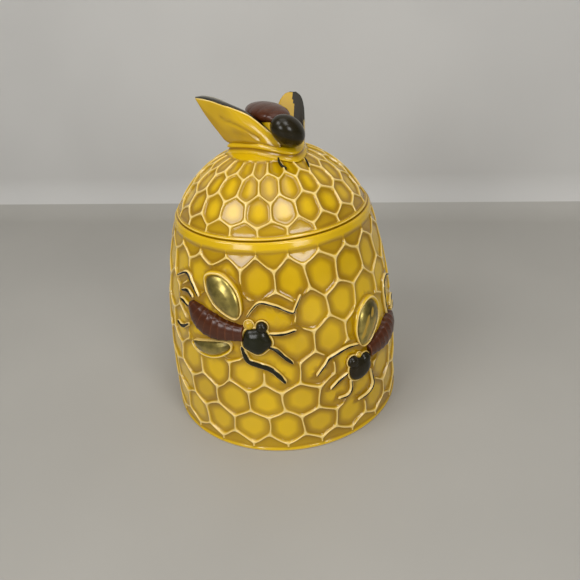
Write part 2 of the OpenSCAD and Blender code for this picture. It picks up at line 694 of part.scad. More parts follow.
module knob_wing_left() {
    color(pot_color)
        difference() {
            left_wing_form();
            dome_ball();
        }
}

module knob_wing_right() {
    color(pot_color)
        difference() {
            right_wing_form();
            dome_ball();
        }
}

pot_shell();
lid_shell();
knob_thorax();
knob_abdomen();
knob_head();
knob_wing_left();
knob_wing_right();
front_left_abdomen();
front_left_head();
front_left_wing_upper();
front_left_wing_lower();
front_left_legs();
back_left_abdomen();
back_left_head();
back_left_wing_upper();
back_left_wing_lower();
back_left_legs();
front_right_abdomen();
front_right_head();
front_right_wing();
front_right_legs();
back_right_abdomen();
back_right_head();
back_right_wing();
back_right_legs();
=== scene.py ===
import math
import bpy
import numpy as np
from mathutils import Matrix, Vector


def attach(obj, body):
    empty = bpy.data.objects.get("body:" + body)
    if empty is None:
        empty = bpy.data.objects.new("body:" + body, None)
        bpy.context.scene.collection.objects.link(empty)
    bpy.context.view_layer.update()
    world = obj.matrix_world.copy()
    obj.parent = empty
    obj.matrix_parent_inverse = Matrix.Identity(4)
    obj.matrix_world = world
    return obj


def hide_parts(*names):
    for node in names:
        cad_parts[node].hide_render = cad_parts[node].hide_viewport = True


# Glazed honey pot covered in comb, with gilt-winged bees in relief and a bee as the lid's knob.
# Sizes are in millimetres and are turned into metres when a mesh is made.

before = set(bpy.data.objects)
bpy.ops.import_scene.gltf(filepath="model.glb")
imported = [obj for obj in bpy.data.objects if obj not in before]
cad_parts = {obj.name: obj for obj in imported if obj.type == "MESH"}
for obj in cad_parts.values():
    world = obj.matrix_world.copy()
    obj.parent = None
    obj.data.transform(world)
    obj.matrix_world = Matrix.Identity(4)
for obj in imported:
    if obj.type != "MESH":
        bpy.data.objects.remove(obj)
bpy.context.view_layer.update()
mm = 0.001
hand = np.random.default_rng(7)  # the modeller's unevenness

# Marks say how many mm a point lies from a crest, where the glaze runs thin and pale. These three stand for
# places without a crest: plain glaze, the foot wiped as pale as a crest, and the seam, darkened by pooled
# glaze and painted shade.
plainMark, bareMark, seamMark = 3.6, -1, 9
# how dark the seam is made: pooled glaze together with painted shade of the gap between lid and pot
seamPoolAndShade = 1.5


# small sums

def around(a, r, z):
    a = np.radians(a)
    return np.stack([r * np.sin(a), -r * np.cos(a), z + 0 * a], -1)


def smoothStep(x, low, high):
    t = np.clip((x - low) / (high - low), 0, 1)
    return t * t * (3 - 2 * t)


def unit(v):
    v = np.asarray(v, float)
    return v / np.linalg.norm(v, axis=-1, keepdims=True)


def throughPoints(points, count, closed=False):
    # a smooth curve through the points
    p = np.asarray(points, float)
    if closed:
        p = np.concatenate([p[-1:], p, p[:2]])
    else:
        p = np.concatenate([2 * p[:1] - p[1:2], p, 2 * p[-1:] - p[-2:-1]])
    spans = len(p) - 3
    t = np.linspace(0, spans, count, endpoint=not closed)
    i = np.minimum(t.astype(int), spans - 1)
    f = (t - i).reshape(-1, *[1] * (p.ndim - 1))
    a, b, c, d = p[i], p[i + 1], p[i + 2], p[i + 3]
    return 0.5 * (2 * b + (c - a) * f + (2 * a - 5 * b + 4 * c - d) * f ** 2
                  + (3 * b - a - 3 * c + d) * f ** 3)


def sideways(line):
    # the direction across a flat line, at each of its points
    run = unit(np.gradient(line, axis=0))
    return np.stack([-run[:, 1], run[:, 0]], -1)


def stepsAlong(line):
    # mm along a line at each of its points
    return np.concatenate([[0], np.cumsum(np.linalg.norm(np.diff(line, axis=0), axis=1))])


def toPolyline(p, line):
    # distance of each point from a line of points
    best = np.full(len(p), 1e9)
    for a, b in zip(line[:-1], line[1:]):
        run = b - a
        t = np.clip(((p - a) @ run) / max(run @ run, 1e-9), 0, 1)
        best = np.minimum(best, np.linalg.norm(p - a - t[:, None] * run, axis=1))
    return best


def weld(points, faces):
    # joins points that lie in the same place and drops faces that shrink away
    keys = np.round(points, 4)
    _, first, back = np.unique(keys, axis=0, return_index=True, return_inverse=True)
    back = back.reshape(-1)
    kept = []
    for face in faces:
        f = [back[i] for i in face]
        f = [v for i, v in enumerate(f) if v != f[i - 1]]
        if len(set(f)) > 2:
            kept.append(f)
    return first, kept


def addObject(name, data):
    obj = bpy.data.objects.new(name, data)
    bpy.context.scene.collection.objects.link(obj)
    return obj


def addValues(mesh, name, values):
    layer = mesh.attributes.new(name, "FLOAT", "POINT")
    layer.data.foreach_set("value", (np.zeros(len(mesh.vertices)) + values).astype(np.float32))


def makeMesh(name, points, faces, marks=5.0, pooled=0.0, slots=None):
    # a smooth mesh in metres, with each point's mark and how thick the glaze lies there, which also carries
    # painted shade at the seam and round the knob bee's foot
    mesh = bpy.data.meshes.new(name)
    mesh.from_pydata((np.asarray(points) * mm).tolist(), [], [list(map(int, f)) for f in faces])
    addValues(mesh, "fromRidge", marks)
    addValues(mesh, "pooled", pooled)
    mesh.polygons.foreach_set("use_smooth", [True] * len(mesh.polygons))
    if slots is not None:
        mesh.polygons.foreach_set("material_index", np.asarray(slots, np.int32))
    return addObject(name, mesh)


def dress(obj, body, slot, materials, *nodes):
    for material in materials:
        obj.data.materials.append(material)
    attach(obj, body)
    if nodes:
        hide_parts(*nodes)
    return obj


def outwards(points, faces):
    # turns the faces so that they look out of a closed shape
    c = points.mean(0)
    total = 0.0
    for f in faces:
        a, b, d = points[f[0]] - c, points[f[1]] - c, points[f[2]] - c
        total += np.dot(np.cross(a, b), d)
        if len(f) == 4:
            total += np.dot(np.cross(a, d), points[f[3]] - c)
    return faces if total > 0 else [f[::-1] for f in faces]


def sheet(rings):
    # skin over closed rings, from the first to the last, with its ends closed by their middles
    rings = np.asarray(rings)
    m, n = rings.shape[:2]
    k, i = np.meshgrid(np.arange(m - 1), np.arange(n), indexing="ij")
    j = (i + 1) % n
    faces = np.stack([k * n + i, k * n + j, (k + 1) * n + j, (k + 1) * n + i], -1).reshape(-1, 4).tolist()
    for i in range(n):
        faces.append([m * n, (i + 1) % n, i])
        faces.append([m * n + 1, (m - 1) * n + i, (m - 1) * n + (i + 1) % n])
    points = np.concatenate([rings.reshape(-1, rings.shape[2]), rings[:1].mean(1), rings[-1:].mean(1)])
    return points, outwards(points, faces)


def together(*parts):
    # parts of points, faces and marks in one list of each
    points, faces, marks, base = [], [], [], 0
    for p, f, m in parts:
        points.append(p)
        marks.append(np.zeros(len(p)) + m)
        faces += [tuple(i + base for i in face) for face in f]
        base += len(p)
    return np.concatenate(points), faces, np.concatenate(marks)


def combFirst(comb, *parts):
    # one welded shell, in which the glaze has pooled in the comb, and the seam is darkened by pooled glaze
    # and painted shade
    points, faces, marks = together(comb, *parts)
    pooled = np.where(marks == seamMark, seamPoolAndShade, 0.0)
    pooled[:len(comb[0])] = pooledAt(comb[2])
    first, faces = weld(points, faces)
    return points[first], faces, marks[first], pooled[first]


# the comb

potSize = {
    "bodyR": 47.5, "rimR": 37.6, "rimZ": 84.5, "leanPower": 2.8, "wall": 4.5, "floorT": 6,
    "rimW": 5, "mouthH": 7, "collarH": 2.1, "footH": 1, "footW": 7.5, "footRecess": 1.5,
    "footRound": 0.8, "rimRound": 0.6, "cavityCorner": 7, "shoulderH": 2,
    "cells": 22, "rows": 8, "turn": 5.8, "lowCut": 0.105, "topCut": 0.075, "cutDepth": 0.75,
    "depth": 0.75, "swell": 0.1, "slope": 0.62, "rounding": 2, "tilt": 1.3, "topLean": 0.12, "waver": 0.3,
    "fade": (1.5, 2.4),
}
lidSize = {
    "inset": 0.7, "rise": 24, "thick": 4, "lipRound": 0.8, "lipH": 1.2, "crownR": 13.6,
    "crownGap": 0.35, "flangeH": 6, "flangeT": 3, "flangeGap": 0.8,
    "rows": 4, "turn": -1.2, "lowCut": -0.02, "topCut": -0.433, "cutDepth": 0.75,
    "depth": 0.6, "swell": 0.14, "slope": 0.58, "rounding": 3, "tilt": 1.5, "topLean": 0, "waver": 0.2,
    "fade": (0.5, 1.6),
}
combShape = {
    "edgePoints": 6, "crestFlat": 0.1, "reachShare": 0.96, "slopeShare": 0.62, "unevenDepth": 0.12,
    "bankSteps": (0, 0.12, 0.26, 0.42, 0.6, 0.8, 1), "floorSteps": (0.22, 0.5, 0.78),
}

cornerX = np.array([0, 1, 1, 0, -1, -1.0])
cornerY = np.array([1, 0.5, -0.5, -1, -0.5, 0.5])


def potRadius(z):
    p = potSize
    return p["bodyR"] - (p["bodyR"] - p["rimR"]) * (np.maximum(z, 0) / p["rimZ"]) ** p["leanPower"]


def pooledAt(d):
    # the glaze lies thickest at the foot of the bank
    return smoothStep(d, 0.25, 0.6) * (1 - smoothStep(d, 0.9, 3.6))


def insetRing(corners, d):
    # the corners of a cell moved in by d from each of its edges
    edges = np.roll(corners, -1, 0) - corners
    edges /= np.linalg.norm(edges, axis=1)[:, None]
    inward = np.stack([edges[:, 1], -edges[:, 0]], -1)
    before = np.roll(inward, 1, 0)
    return corners + (inward + before) * d / (1 + (inward * before).sum(1))[:, None]


def sampleRing(corners, steps):
    share = np.arange(steps) / steps
    ends = np.roll(corners, -1, 0)
    return (corners[:, None] * (1 - share)[:, None] + ends[:, None] * share[:, None]).reshape(-1, 2)


def roundRing(ring, passes):
    for _ in range(passes):
        ring = ring * 0.5 + (np.roll(ring, 1, 0) + np.roll(ring, -1, 0)) * 0.25
    return ring


def cellRings(size, flat):
    # copies of a cell's outline, further and further in: their points, how far in each lies, and how
    # wide the bank from the crest down to the floor is
    c = combShape
    edges = np.roll(flat, -1, 0) - flat
    inward = np.stack([edges[:, 1], -edges[:, 0]], -1) / np.linalg.norm(edges, axis=1)[:, None]
    reach = (-(flat * inward).sum(1)).min() * c["reachShare"]
    bank = min(size["slope"], reach * c["slopeShare"])
    dList = [bank * t for t in c["bankSteps"]] + [bank + (reach - bank) * t for t in c["floorSteps"]]
    rings = [roundRing(sampleRing(insetRing(flat, d), c["edgePoints"]),
                       int(round(size["rounding"] * min(1.5, d / size["slope"])))) for d in dList]
    return (np.concatenate(rings + [np.zeros((1, 2))]), np.append(np.repeat(dList, len(rings[0])), reach),
            bank)


def cellFaces(base, rings, count):
    # quads between the rings of a cell, and a fan to its middle
    faces = [(base + k * count + i, base + k * count + (i + 1) % count,
              base + (k + 1) * count + (i + 1) % count, base + (k + 1) * count + i)
             for k in range(rings - 1) for i in range(count)]
    last = base + (rings - 1) * count
    return faces + [(last + i, last + (i + 1) % count, last + count) for i in range(count)]


def combPatch(size, rowS, half, low, top, radiusAt, placeAt):
    # cells with nearly flat floors between crested ridges
    c = combShape
    steps, rings = c["edgePoints"], len(c["bankSteps"] + c["floorSteps"])
    count = 6 * steps
    halfStep = 180 / potSize["cells"]
    points, faces, marks, base = [], [], [], 0
    for row in range(size["rows"]):
        lastRow = row == size["rows"] - 1
        cut = size["cutDepth"] if row == 0 or lastRow else 1
        sCorner = np.clip(rowS(row) + half * cornerY, low, top)
        sMid = sCorner.mean()
        scale = radiusAt(sMid) * math.pi / 180
        flat, inset, bank = cellRings(size, np.stack([halfStep * cornerX * scale, sCorner - sMid], -1))
        down = smoothStep(inset, c["crestFlat"], bank)
        inside = np.clip((inset - bank) / (inset[-1] - bank), 0, 1)
        lift = size["swell"] * cut * (1 - (1 - inside) ** 2)
        # the cut rows run out into the plain surface without a ridge
        s = sMid + flat[:, 1]
        lowRun = smoothStep(s - low, 0, size["fade"][0])
        topRun = smoothStep(top - s, 0, size["fade"][1])
        lean = size["topLean"] if lastRow else 0
        for j in range(potSize["cells"]):
            a = size["turn"] + (2 * j + row % 2) * halfStep + flat[:, 0] / scale
            skin = placeAt(a, s)
            ring = skin[:count]
            middle = ring.mean(0)
            normal = unit(np.cross(np.roll(ring, -1, 0) - middle, ring - middle).sum(0))
            normal = unit(normal + np.radians(size["tilt"]) * hand.normal(size=3) + [0, 0, lean])
            depth = size["depth"] * cut * (1 + c["unevenDepth"] * hand.normal())
            fall = (skin - middle) @ normal + depth - lift
            points.append(skin - (fall * down * lowRun * topRun)[:, None] * normal)
            marks.append(np.maximum(inset, (1 - np.minimum(lowRun, topRun)) * plainMark))
            faces += cellFaces(base, rings, count)
            start = base
            base += len(skin)
            if lastRow and sCorner[1] < top - 0.01:
                # the notch between this cell and the next, up to the plain surface
                edge = list(range(5 * steps, 6 * steps)) + list(range(steps + 1))
                points.append(placeAt(a[edge], np.full(len(edge), top)))
                marks.append(np.full(len(edge), plainMark))
                faces += [(start + edge[i], base + i, base + i + 1, start + edge[i + 1])
                          for i in range(len(edge) - 1)]
                base += len(edge)
    return np.concatenate(points), [f[::-1] for f in faces], np.concatenate(marks)


def revolve(profile, turn, closeStart=False, closeEnd=False):
    # rings round the upright through [r, z, mark], with columns that meet the comb's
    columns = 2 * potSize["cells"] * combShape["edgePoints"]
    a = turn + np.arange(columns) * 360 / columns
    points = np.concatenate([around(a, r, z) for r, z, mark in profile])
    marks = np.repeat([p[2] for p in profile], columns)
    faces = []
    for k in range(len(profile) - 1):
        for i in range(columns):
            n = (i + 1) % columns
            faces.append((k * columns + i, k * columns + n, (k + 1) * columns + n, (k + 1) * columns + i))
    for wanted, k in ((closeStart, 0), (closeEnd, len(profile) - 1)):
        if wanted:
            pole = len(points)
            points = np.concatenate([points, [[0, 0, profile[k][1]]]])
            marks = np.append(marks, profile[k][2])
            for i in range(columns):
                n = (i + 1) % columns
                face = (k * columns + i, k * columns + n, pole)
                faces.append(face if k else face[::-1])
    return points, faces, marks


def arc(cr, cz, r, start, end, steps, mark=5.0):
    # points of a round corner, from the angle start to end, in degrees from straight out
    return [[cr + r * math.cos(math.radians(t)), cz + r * math.sin(math.radians(t)), mark]
            for t in np.linspace(start, end, steps + 1)]


def waver(a, s, amount):
    # a slow drift of the ridges by hand, the same for every point of a ridge
    a = np.radians(a)
    da = np.sin(7 * a + 0.21 * s) + np.sin(13 * a - 0.33 * s + 1.7) + 0.6 * np.sin(23 * a + 0.5 * s)
    ds = np.sin(9 * a - 0.27 * s + 0.6) + np.sin(17 * a + 0.19 * s + 2.9) + 0.6 * np.sin(25 * a)
    return amount * da, amount * ds


# The relief bees, in mm right of and above the neck, on the wall. An outline or a path runs through its
# points as a curve. A leg's form is its width as a share of the usual and its black line's share of that.

combLow = potSize["footH"]
combTop = potSize["rimZ"] - potSize["collarH"]
rowPitch = (combTop - combLow) / (potSize["rows"] - 1 - potSize["lowCut"] - potSize["topCut"])
beeShape = {
    "seat": 1.8, "abdomenH": 2.4, "abdomenHalf": [2.9, 3.4, 4.2, 4.8, 4.8, 3.8, 1.2],
    "rings": 8.5, "groove": 0.06, "headH": 2.6, "eyeH": 2.2, "wingH": 2.0, "grooveH": 0.1,
    "edgeH": 0.85, "legHalf": 1.05, "legH": 0.6, "wingPoints": 72, "wingRings": 11,
}
leftBee = {
    "turn": -19.3, "z": combLow + 4.27 * rowPitch,
    "spine": [(0.4, 0.4), (-6, 0.6), (-12, 1.3), (-18, 3.4), (-23.7, 7.6)],
    "head": {"at": (5.4, -2), "size": (5.2, 5.0), "lobes": 5, "phase": 60},
    "eyes": [{"at": (7.6, 3.4), "r": 2.1}],
    "bareEye": {"at": (2.9, 4.0), "r": 1.7},
    "wings": [
        {"name": "wing_upper", "lean": (0.12, 1), "edge": (0.5, 1.9),
         "outline": [(-14.2, 19.2), (-11.1, 20.4), (-7.0, 20.0), (-2.9, 16.9), (-0.8, 12.8), (-0.4, 8.2),
                     (-1.9, 6.1), (-5.6, 7.2), (-10.2, 10.0), (-13.4, 13.8), (-14.6, 16.8)]},
        {"name": "wing_lower", "lean": (-0.1, -1), "edge": (0.3, 1.4),
         "outline": [(-21.9, -7.7), (-18.2, -6.2), (-10.4, -4.2), (-5.8, -3.8), (-4.6, -4.9), (-5.9, -7.1),
                     (-10.0, -9.7), (-14.6, -10.8), (-19.4, -10.2)]},
    ],
    "legs": [
        [(2.2, 6.8), (4.6, 10.0), (7.6, 12.2), (13.3, 10.7), (18.8, 7.9), (20.4, 9.7), (22.7, 14.0)],
        [(9.6, 0.6), (14.6, 0.2), (19.9, 1.3)],
        [(9.0, -4.2), (12.0, -5.8), (14.6, -8.8), (17.8, -11.9)],
        [(-0.4, -4.4), (1.4, -10.1), (5.2, -11.9), (9.3, -13.5), (12.3, -16.6), (14.5, -19.8)],
        [(-18.5, 11.0), (-22.1, 14.6), (-26.3, 17.9), (-33.6, 14.7)],
        [(-21.9, 9.7), (-25.2, 11.3), (-29.6, 10.4)],
        [(-23.8, 5.5), (-26.5, 6.1), (-30.8, 7.0)],
        [(-24.4, -1.6), (-29.3, -4.6), (-33.7, -4.0)],
    ],
    "legForm": [(0.62, 0.34), (0.68, 0.42), (0.85, 0.6), (1.2, 0.62), (0.7, 0.45), (0.75, 0.55),
                (0.7, 0.5), (0.8, 0.6)],
    "clear": [((12, -3), 9.5), ((5, 5), 6)],
}
rightBee = {
    "turn": 42.3, "z": combLow + 2.82 * rowPitch,
    "spine": [(0.6, 0.1), (6, 0.4), (12, 1.0), (18, 2.4), (23.8, 4.8)],
    "head": {"at": (-5.2, -4.6), "size": (5.3, 4.6), "lobes": 3, "phase": 10},
    "eyes": [{"at": (-8.4, -0.4), "r": 2.3}, {"at": (-2.4, -1.9), "r": 2.6}],
    "bareEye": {"at": (-5.2, 0.9), "r": 1.1},
    "wings": [
        {"name": "wing", "lean": (-0.1, 1), "edge": (0.5, 1.9),
         "outline": [(5.2, 19.8), (1.5, 19.8), (-2.2, 17.4), (-4.2, 13.5), (-4.8, 9.0), (-3.2, 4.4),
                     (0.6, 4.4), (4.4, 7.4), (7.8, 11.3), (8.2, 16.3)],
         "fields": [((2.6, 15.4), (3.0, 0.9), 58), ((-0.6, 13.2), (3.4, 0.8), 60),
                    ((-2.6, 9.4), (3.0, 0.8), 66), ((2.9, 11.0), (3.2, 0.8), 58),
                    ((-0.2, 7.2), (2.6, 0.8), 62)]},
    ],
    "legs": [
        [(-4.6, 5.4), (-10.2, 6.2), (-14.7, 5.4), (-18.1, 4.5), (-19.9, 2.5), (-23.7, -1.5)],
        [(-10.6, -4.4), (-14.8, -6.3), (-18.7, -8.9)],
        [(-9.6, -8.0), (-9.5, -12.3), (-11.7, -14.5), (-15.7, -14.2)],
        [(0.9, -8.4), (2.2, -16.0), (-1.1, -18.8), (-6.6, -19.1)],
        [(17.2, 7.6), (16.6, 13.4), (17.6, 19.6), (21.3, 22.1), (27.8, 19.6)],
        [(22.8, 8.0), (26.4, 10), (30.6, 9.6)],
        [(25.2, 5.2), (28.8, 4.5), (33.6, 4.6)],
        [(22.8, 0.2), (30.9, -4.4), (35.4, -4.2)],
    ],
    "legForm": [(0.75, 0.36), (0.75, 0.38), (0.75, 0.3), (0.75, 0.3)] + [(0.7, 0.4)] * 4,
    "clear": [((-9, -9), 8.5), ((-6, 1), 6)],
}


def beeNearness(bee, p):
    # mm from the bee's body and wings, mm from its legs, and how far p lies in its cleared ground
    body = toPolyline(p, throughPoints(bee["spine"], 14)) - 4.4
    body = np.minimum(body, np.linalg.norm((p - bee["head"]["at"]) / bee["head"]["size"], axis=1) * 5 - 5.6)
    for wing in bee["wings"]:
        ring = throughPoints(wing["outline"], 32, True)
        away = toPolyline(p, np.concatenate([ring, ring[:1]]))
        c = ring.mean(0)
        inside = np.linalg.norm(p - c, axis=1) < 4
        body = np.minimum(body, np.where(inside, -1, away - wing["edge"][1] * 0.8))
    legs = np.full(len(p), 1e9)
    for leg in bee["legs"]:
        legs = np.minimum(legs, toPolyline(p, throughPoints(leg, 12)) - beeShape["legHalf"])
    ground = np.zeros(len(p))
    for at, r in bee["clear"]:
        ground = np.maximum(ground, 1 - smoothStep(np.linalg.norm(p - at, axis=1), r - 1.5, r + 1.5))
    return body, legs, ground


def clearComb(points, marks):
    # the ridges give way to open ground round the bees
    a = np.degrees(np.arctan2(points[:, 0], -points[:, 1]))
    r = np.hypot(points[:, 0], points[:, 1])
    z = points[:, 2]
    cleared = np.zeros(len(points))
    near = np.full(len(points), 1e9)
    for bee in (leftBee, rightBee):
        for turn in (0, 180):
            off = (a - bee["turn"] - turn + 180) % 360 - 180
            p = np.stack([np.radians(off) * potRadius(bee["z"]), z - bee["z"]], -1)
            close = np.linalg.norm(p, axis=1) < 48
            if not close.any():
                continue
            body, legs, ground = beeNearness(bee, p[close])
            c = np.maximum(1 - smoothStep(body, 0.6, 2.4), 1 - smoothStep(legs, 0.2, 1.3))
            cleared[close] = np.maximum(cleared[close], np.maximum(c, ground))
            near[close] = np.minimum(near[close], np.minimum(body, legs))
    bumps = 0.14 * np.sin(0.9 * z + 5 * np.radians(a)) + 0.12 * np.sin(31 * np.radians(a) - 0.7 * z)
    target = potRadius(z) - potSize["depth"] - 0.05 + bumps
    newR = r + (target - r) * cleared
    points = points.copy()
    points[:, 0] *= newR / r
    points[:, 1] *= newR / r
    groundMark = 0.85 + np.clip(near, 0, 4)
    return points, marks * (1 - cleared) + groundMark * cleared


# the pot and the lid

def buildPot():
    pot = potSize

    def place(a, s):
        da, ds = waver(a, s, pot["waver"])
        hold = smoothStep(s, combLow, combLow + 5) * (1 - smoothStep(s, combTop - 5, combTop))
        a = a + da * hold / potRadius(s) * 180 / math.pi
        s = s + ds * hold
        return around(a, potRadius(s), s)

    comb = combPatch(pot, lambda i: combLow + (i - pot["lowCut"]) * rowPitch, rowPitch * 2 / 3, combLow,
                     combTop, potRadius, place)
    points, marks = clearComb(comb[0], comb[2])
    comb = (points, comb[1], marks)
    rimRound, footRound = pot["rimRound"], pot["footRound"]
    bodyLow = potRadius(combLow)
    mouthR = pot["rimR"] - pot["rimW"]
    neckZ = pot["rimZ"] - pot["mouthH"]
    corner = pot["cavityCorner"]
    inLow, inHigh = pot["floorT"] + corner, neckZ - pot["shoulderH"]
    floorR = potRadius(inLow) - pot["wall"]
    ringR = pot["bodyR"] - footRound - pot["footW"]
    collar = [[float(potRadius(z)), z, m] for z, m in
              ((combTop, plainMark), (combTop + 0.5, plainMark), (combTop + 1.0, plainMark),
               (pot["rimZ"] - 0.75, 3.5), (pot["rimZ"] - 0.62, 3.0))]
    rim = arc(pot["rimR"] - rimRound, pot["rimZ"] - rimRound, rimRound, 10, 60, 3, 2)
    # the rim's outer round and its top under the lid, darkened as the seam: pooled glaze and painted shade
    rim += arc(pot["rimR"] - rimRound, pot["rimZ"] - rimRound, rimRound, 75, 90, 1, seamMark)
    rim += [[pot["rimR"] - 1.4, pot["rimZ"], seamMark], [mouthR + 2.5, pot["rimZ"], seamMark]]
    rim += arc(mouthR + 0.7, pot["rimZ"] - 0.7, 0.7, 90, 180, 5, 1.0)
    neck = [[mouthR, neckZ + 1, 3], [mouthR + 0.1, neckZ, 3]]
    inside = [[float(potRadius(z)) - pot["wall"], z, 4] for z in np.linspace(inHigh, inLow, 12)]
    inside += arc(floorR - corner, pot["floorT"] + corner, corner, -12, -90, 7, 2.5)
    inside += [[18, pot["floorT"], 4.5]]
    foot = [[bodyLow, combLow, 1.0], [bodyLow - 0.02, combLow - 0.25, 0.8]]
    foot += arc(pot["bodyR"] - footRound, footRound, footRound, -20, -90, 5, bareMark)
    foot += [[r, z, bareMark] for r, z in
             ((ringR + 0.5, 0), (ringR, 0.4), (ringR - 0.8, pot["footRecess"]), (20, pot["footRecess"]))]
    shell = combFirst(comb, revolve(collar + rim + neck + inside, pot["turn"], closeEnd=True),
                      revolve(foot[::-1], pot["turn"], closeStart=True))
    return makeMesh("pot_shell_glazed", *shell)


def domeSize():
    lidR = potSize["rimR"] - lidSize["inset"]
    domeR = (lidR ** 2 + lidSize["rise"] ** 2) / (2 * lidSize["rise"])
    return lidR, domeR, potSize["rimZ"] + lidSize["rise"] - domeR


def buildLid():
    pot, lid = potSize, lidSize
    lidR, domeR, domeZ = domeSize()
    edge = math.asin(lidR / domeR)
    arcLength = domeR * edge
    crownS = arcLength * (1 - math.asin(lid["crownR"] / domeR) / edge)
    low, top = lid["lipH"], crownS - lid["crownGap"]
    pitch = (top - low) / (lid["rows"] - 1 - lid["lowCut"] - lid["topCut"])

    def tilt(s):
        return edge * (1 - s / arcLength)

    def place(a, s):
        da, ds = waver(a, s, lid["waver"])
        hold = smoothStep(s, low, low + 4) * (1 - smoothStep(s, top - 5, top))
        a = a + da * hold / (domeR * np.sin(tilt(s))) * 180 / math.pi
        s = s + ds * hold
        return around(a, domeR * np.sin(tilt(s)), domeZ + domeR * np.cos(tilt(s)))

    comb = combPatch(lid, lambda i: low + (i - lid["lowCut"]) * pitch, pitch * 2 / 3, low, top,
                     lambda s: domeR * math.sin(tilt(s)), place)

    def onDome(s, inset, mark):
        return [(domeR - inset) * math.sin(tilt(s)), domeZ + (domeR - inset) * math.cos(tilt(s)), mark]

    crown = [onDome(s, d, m) for s, d, m in
             ((top, 0, 0.0), (top + 0.5, 0.05, 0.5), (top + 1.2, 0.1, 1.6), (top + 3, 0.05, 3.5),
              (top + 7, 0, 5), (arcLength - 1, 0, 5))]
    lip = [onDome(low, 0, 0.9), onDome(low - 0.25, 0, 0.2), onDome(low - 0.45, 0, 0.3)]
    lipRound = lid["lipRound"]
    lip += arc(lidR - lipRound - 0.05, pot["rimZ"] + lipRound, lipRound, 0, -24, 2, 1.3)
    # the lip's underside, darkened as the seam: pooled glaze and painted shade of the gap under the lid
    lip += arc(lidR - lipRound - 0.05, pot["rimZ"] + lipRound, lipRound, -36, -90, 4, seamMark)
    flangeR = pot["rimR"] - pot["rimW"] - lid["flangeGap"]
    hollowR = flangeR - lid["flangeT"]
    inner = domeR - lid["thick"]
    hollowZ = domeZ + math.sqrt(inner ** 2 - hollowR ** 2)
    lowZ = pot["rimZ"] - lid["flangeH"]
    lip += [[flangeR + 0.6, pot["rimZ"], 2.0], [flangeR, pot["rimZ"] - 0.6, 2.0]]
    lip += arc(flangeR - 0.6, lowZ + 0.6, 0.6, 0, -90, 4, 1.0)
    lip += arc(hollowR + 0.6, lowZ + 0.6, 0.6, -90, -180, 4, 1.0)
    lip += [[hollowR, hollowZ - 0.6, 4]]
    start = math.asin(hollowR / inner)
    lip += [[inner * math.sin(t), domeZ + inner * math.cos(t), 4.5]
            for t in np.linspace(start * 0.98, 0.04, 10)]
    shell = combFirst(comb, revolve(crown, lid["turn"], closeEnd=True),
                      revolve(lip[::-1], lid["turn"], closeStart=True))
    return makeMesh("lid_shell_glazed", *shell)


# relief pieces

def onWall(bee, turn, p, h):
    p = np.asarray(p, float)
    z = bee["z"] + p[..., 1]
    a = bee["turn"] + turn + p[..., 0] / potRadius(bee["z"]) * 180 / math.pi
    return around(a, potRadius(z) + h, z)


def outlineNormals(ring):
    run = unit(np.roll(ring, -1, 0) - np.roll(ring, 1, 0))
    normal = np.stack([run[:, 1], -run[:, 0]], -1)
    return normal if ((ring - ring.mean(0)) * normal).sum() > 0 else -normal


def ringsWithin(ring, steps):
    # copies of an outline, from small ones near its middle out to itself, each with its share
    c = ring.mean(0)
    return [(c + (ring - c) * share, share) for share in np.sin(np.linspace(0.12, 0.5, steps) * math.pi)]


def domeRings(bee, turn, ring, height, edgeH, steps, power=0.62):
    # rings of a swelling, from near its top out to its outline
    return [onWall(bee, turn, copy, edgeH + (height - edgeH) * (1 - share ** 2) ** power)
            for copy, share in ringsWithin(ring, steps)]


def wornFields(flat, fields):
    # above 0 where the gilt has worn off, in long ovals of a place, a size and an angle
    worn = np.full(len(flat), -1.0)
    for at, size, angle in fields:
        t = math.radians(angle)
        turned = (flat - at) @ np.array([[math.cos(t), -math.sin(t)], [math.sin(t), math.cos(t)]])
        worn = np.maximum(worn, 1 - np.linalg.norm(turned / size, axis=1))
    return worn


def buildWing(name, bee, turn, wing):
    # a gilt swelling in a groove, with a rounded yellow border that is wide on the side it leans to
    b = beeShape
    n, inner = b["wingPoints"], b["wingRings"]
    ring = throughPoints(wing["outline"], n, True)
    normal = outlineNormals(ring)
    thin, wide = wing["edge"]
    width = thin + (wide - thin) * smoothStep(normal @ unit(wing["lean"]), -0.5, 0.7)
    rings = domeRings(bee, turn, ring, b["wingH"], b["grooveH"], inner)
    marks = [np.full(n, 5.0)] * inner
    pool = [np.zeros(n)] * (inner - 1) + [np.ones(n)]
    border = ((0.05, b["grooveH"] - 0.02), (0.2, 0.5), (0.38, 0.8), (0.52, b["edgeH"]), (0.66, 0.78),
              (0.82, 0.4), (0.94, -0.2), (1.02, -0.9), (1.08, -b["seat"]))
    for grow, h in border:
        rings.append(onWall(bee, turn, ring + normal * (width * grow)[:, None], h))
        marks.append(np.abs(grow - 0.56) * width * 1.3)
        pool.append(np.full(n, 1.0 if grow < 0.1 or grow > 0.9 else 0.3 if grow < 0.3 else 0.0))
    points, faces = sheet(rings)
    slots = [1 if i // n < inner else 0 for i in range((len(rings) - 1) * n)] + [1, 0] * n
    marks = np.append(np.concatenate(marks), [5.0, 5.0])
    pool = np.append(np.concatenate(pool), [0.0, 0.0])
    obj = makeMesh(name, points, faces, marks, pool, slots)
    worn = np.full(len(points), -1.0)
    worn[:n * inner] = wornFields(np.concatenate([copy for copy, _ in ringsWithin(ring, inner)]),
                                  wing.get("fields", ()))
    addValues(obj.data, "worn", worn)
    return obj


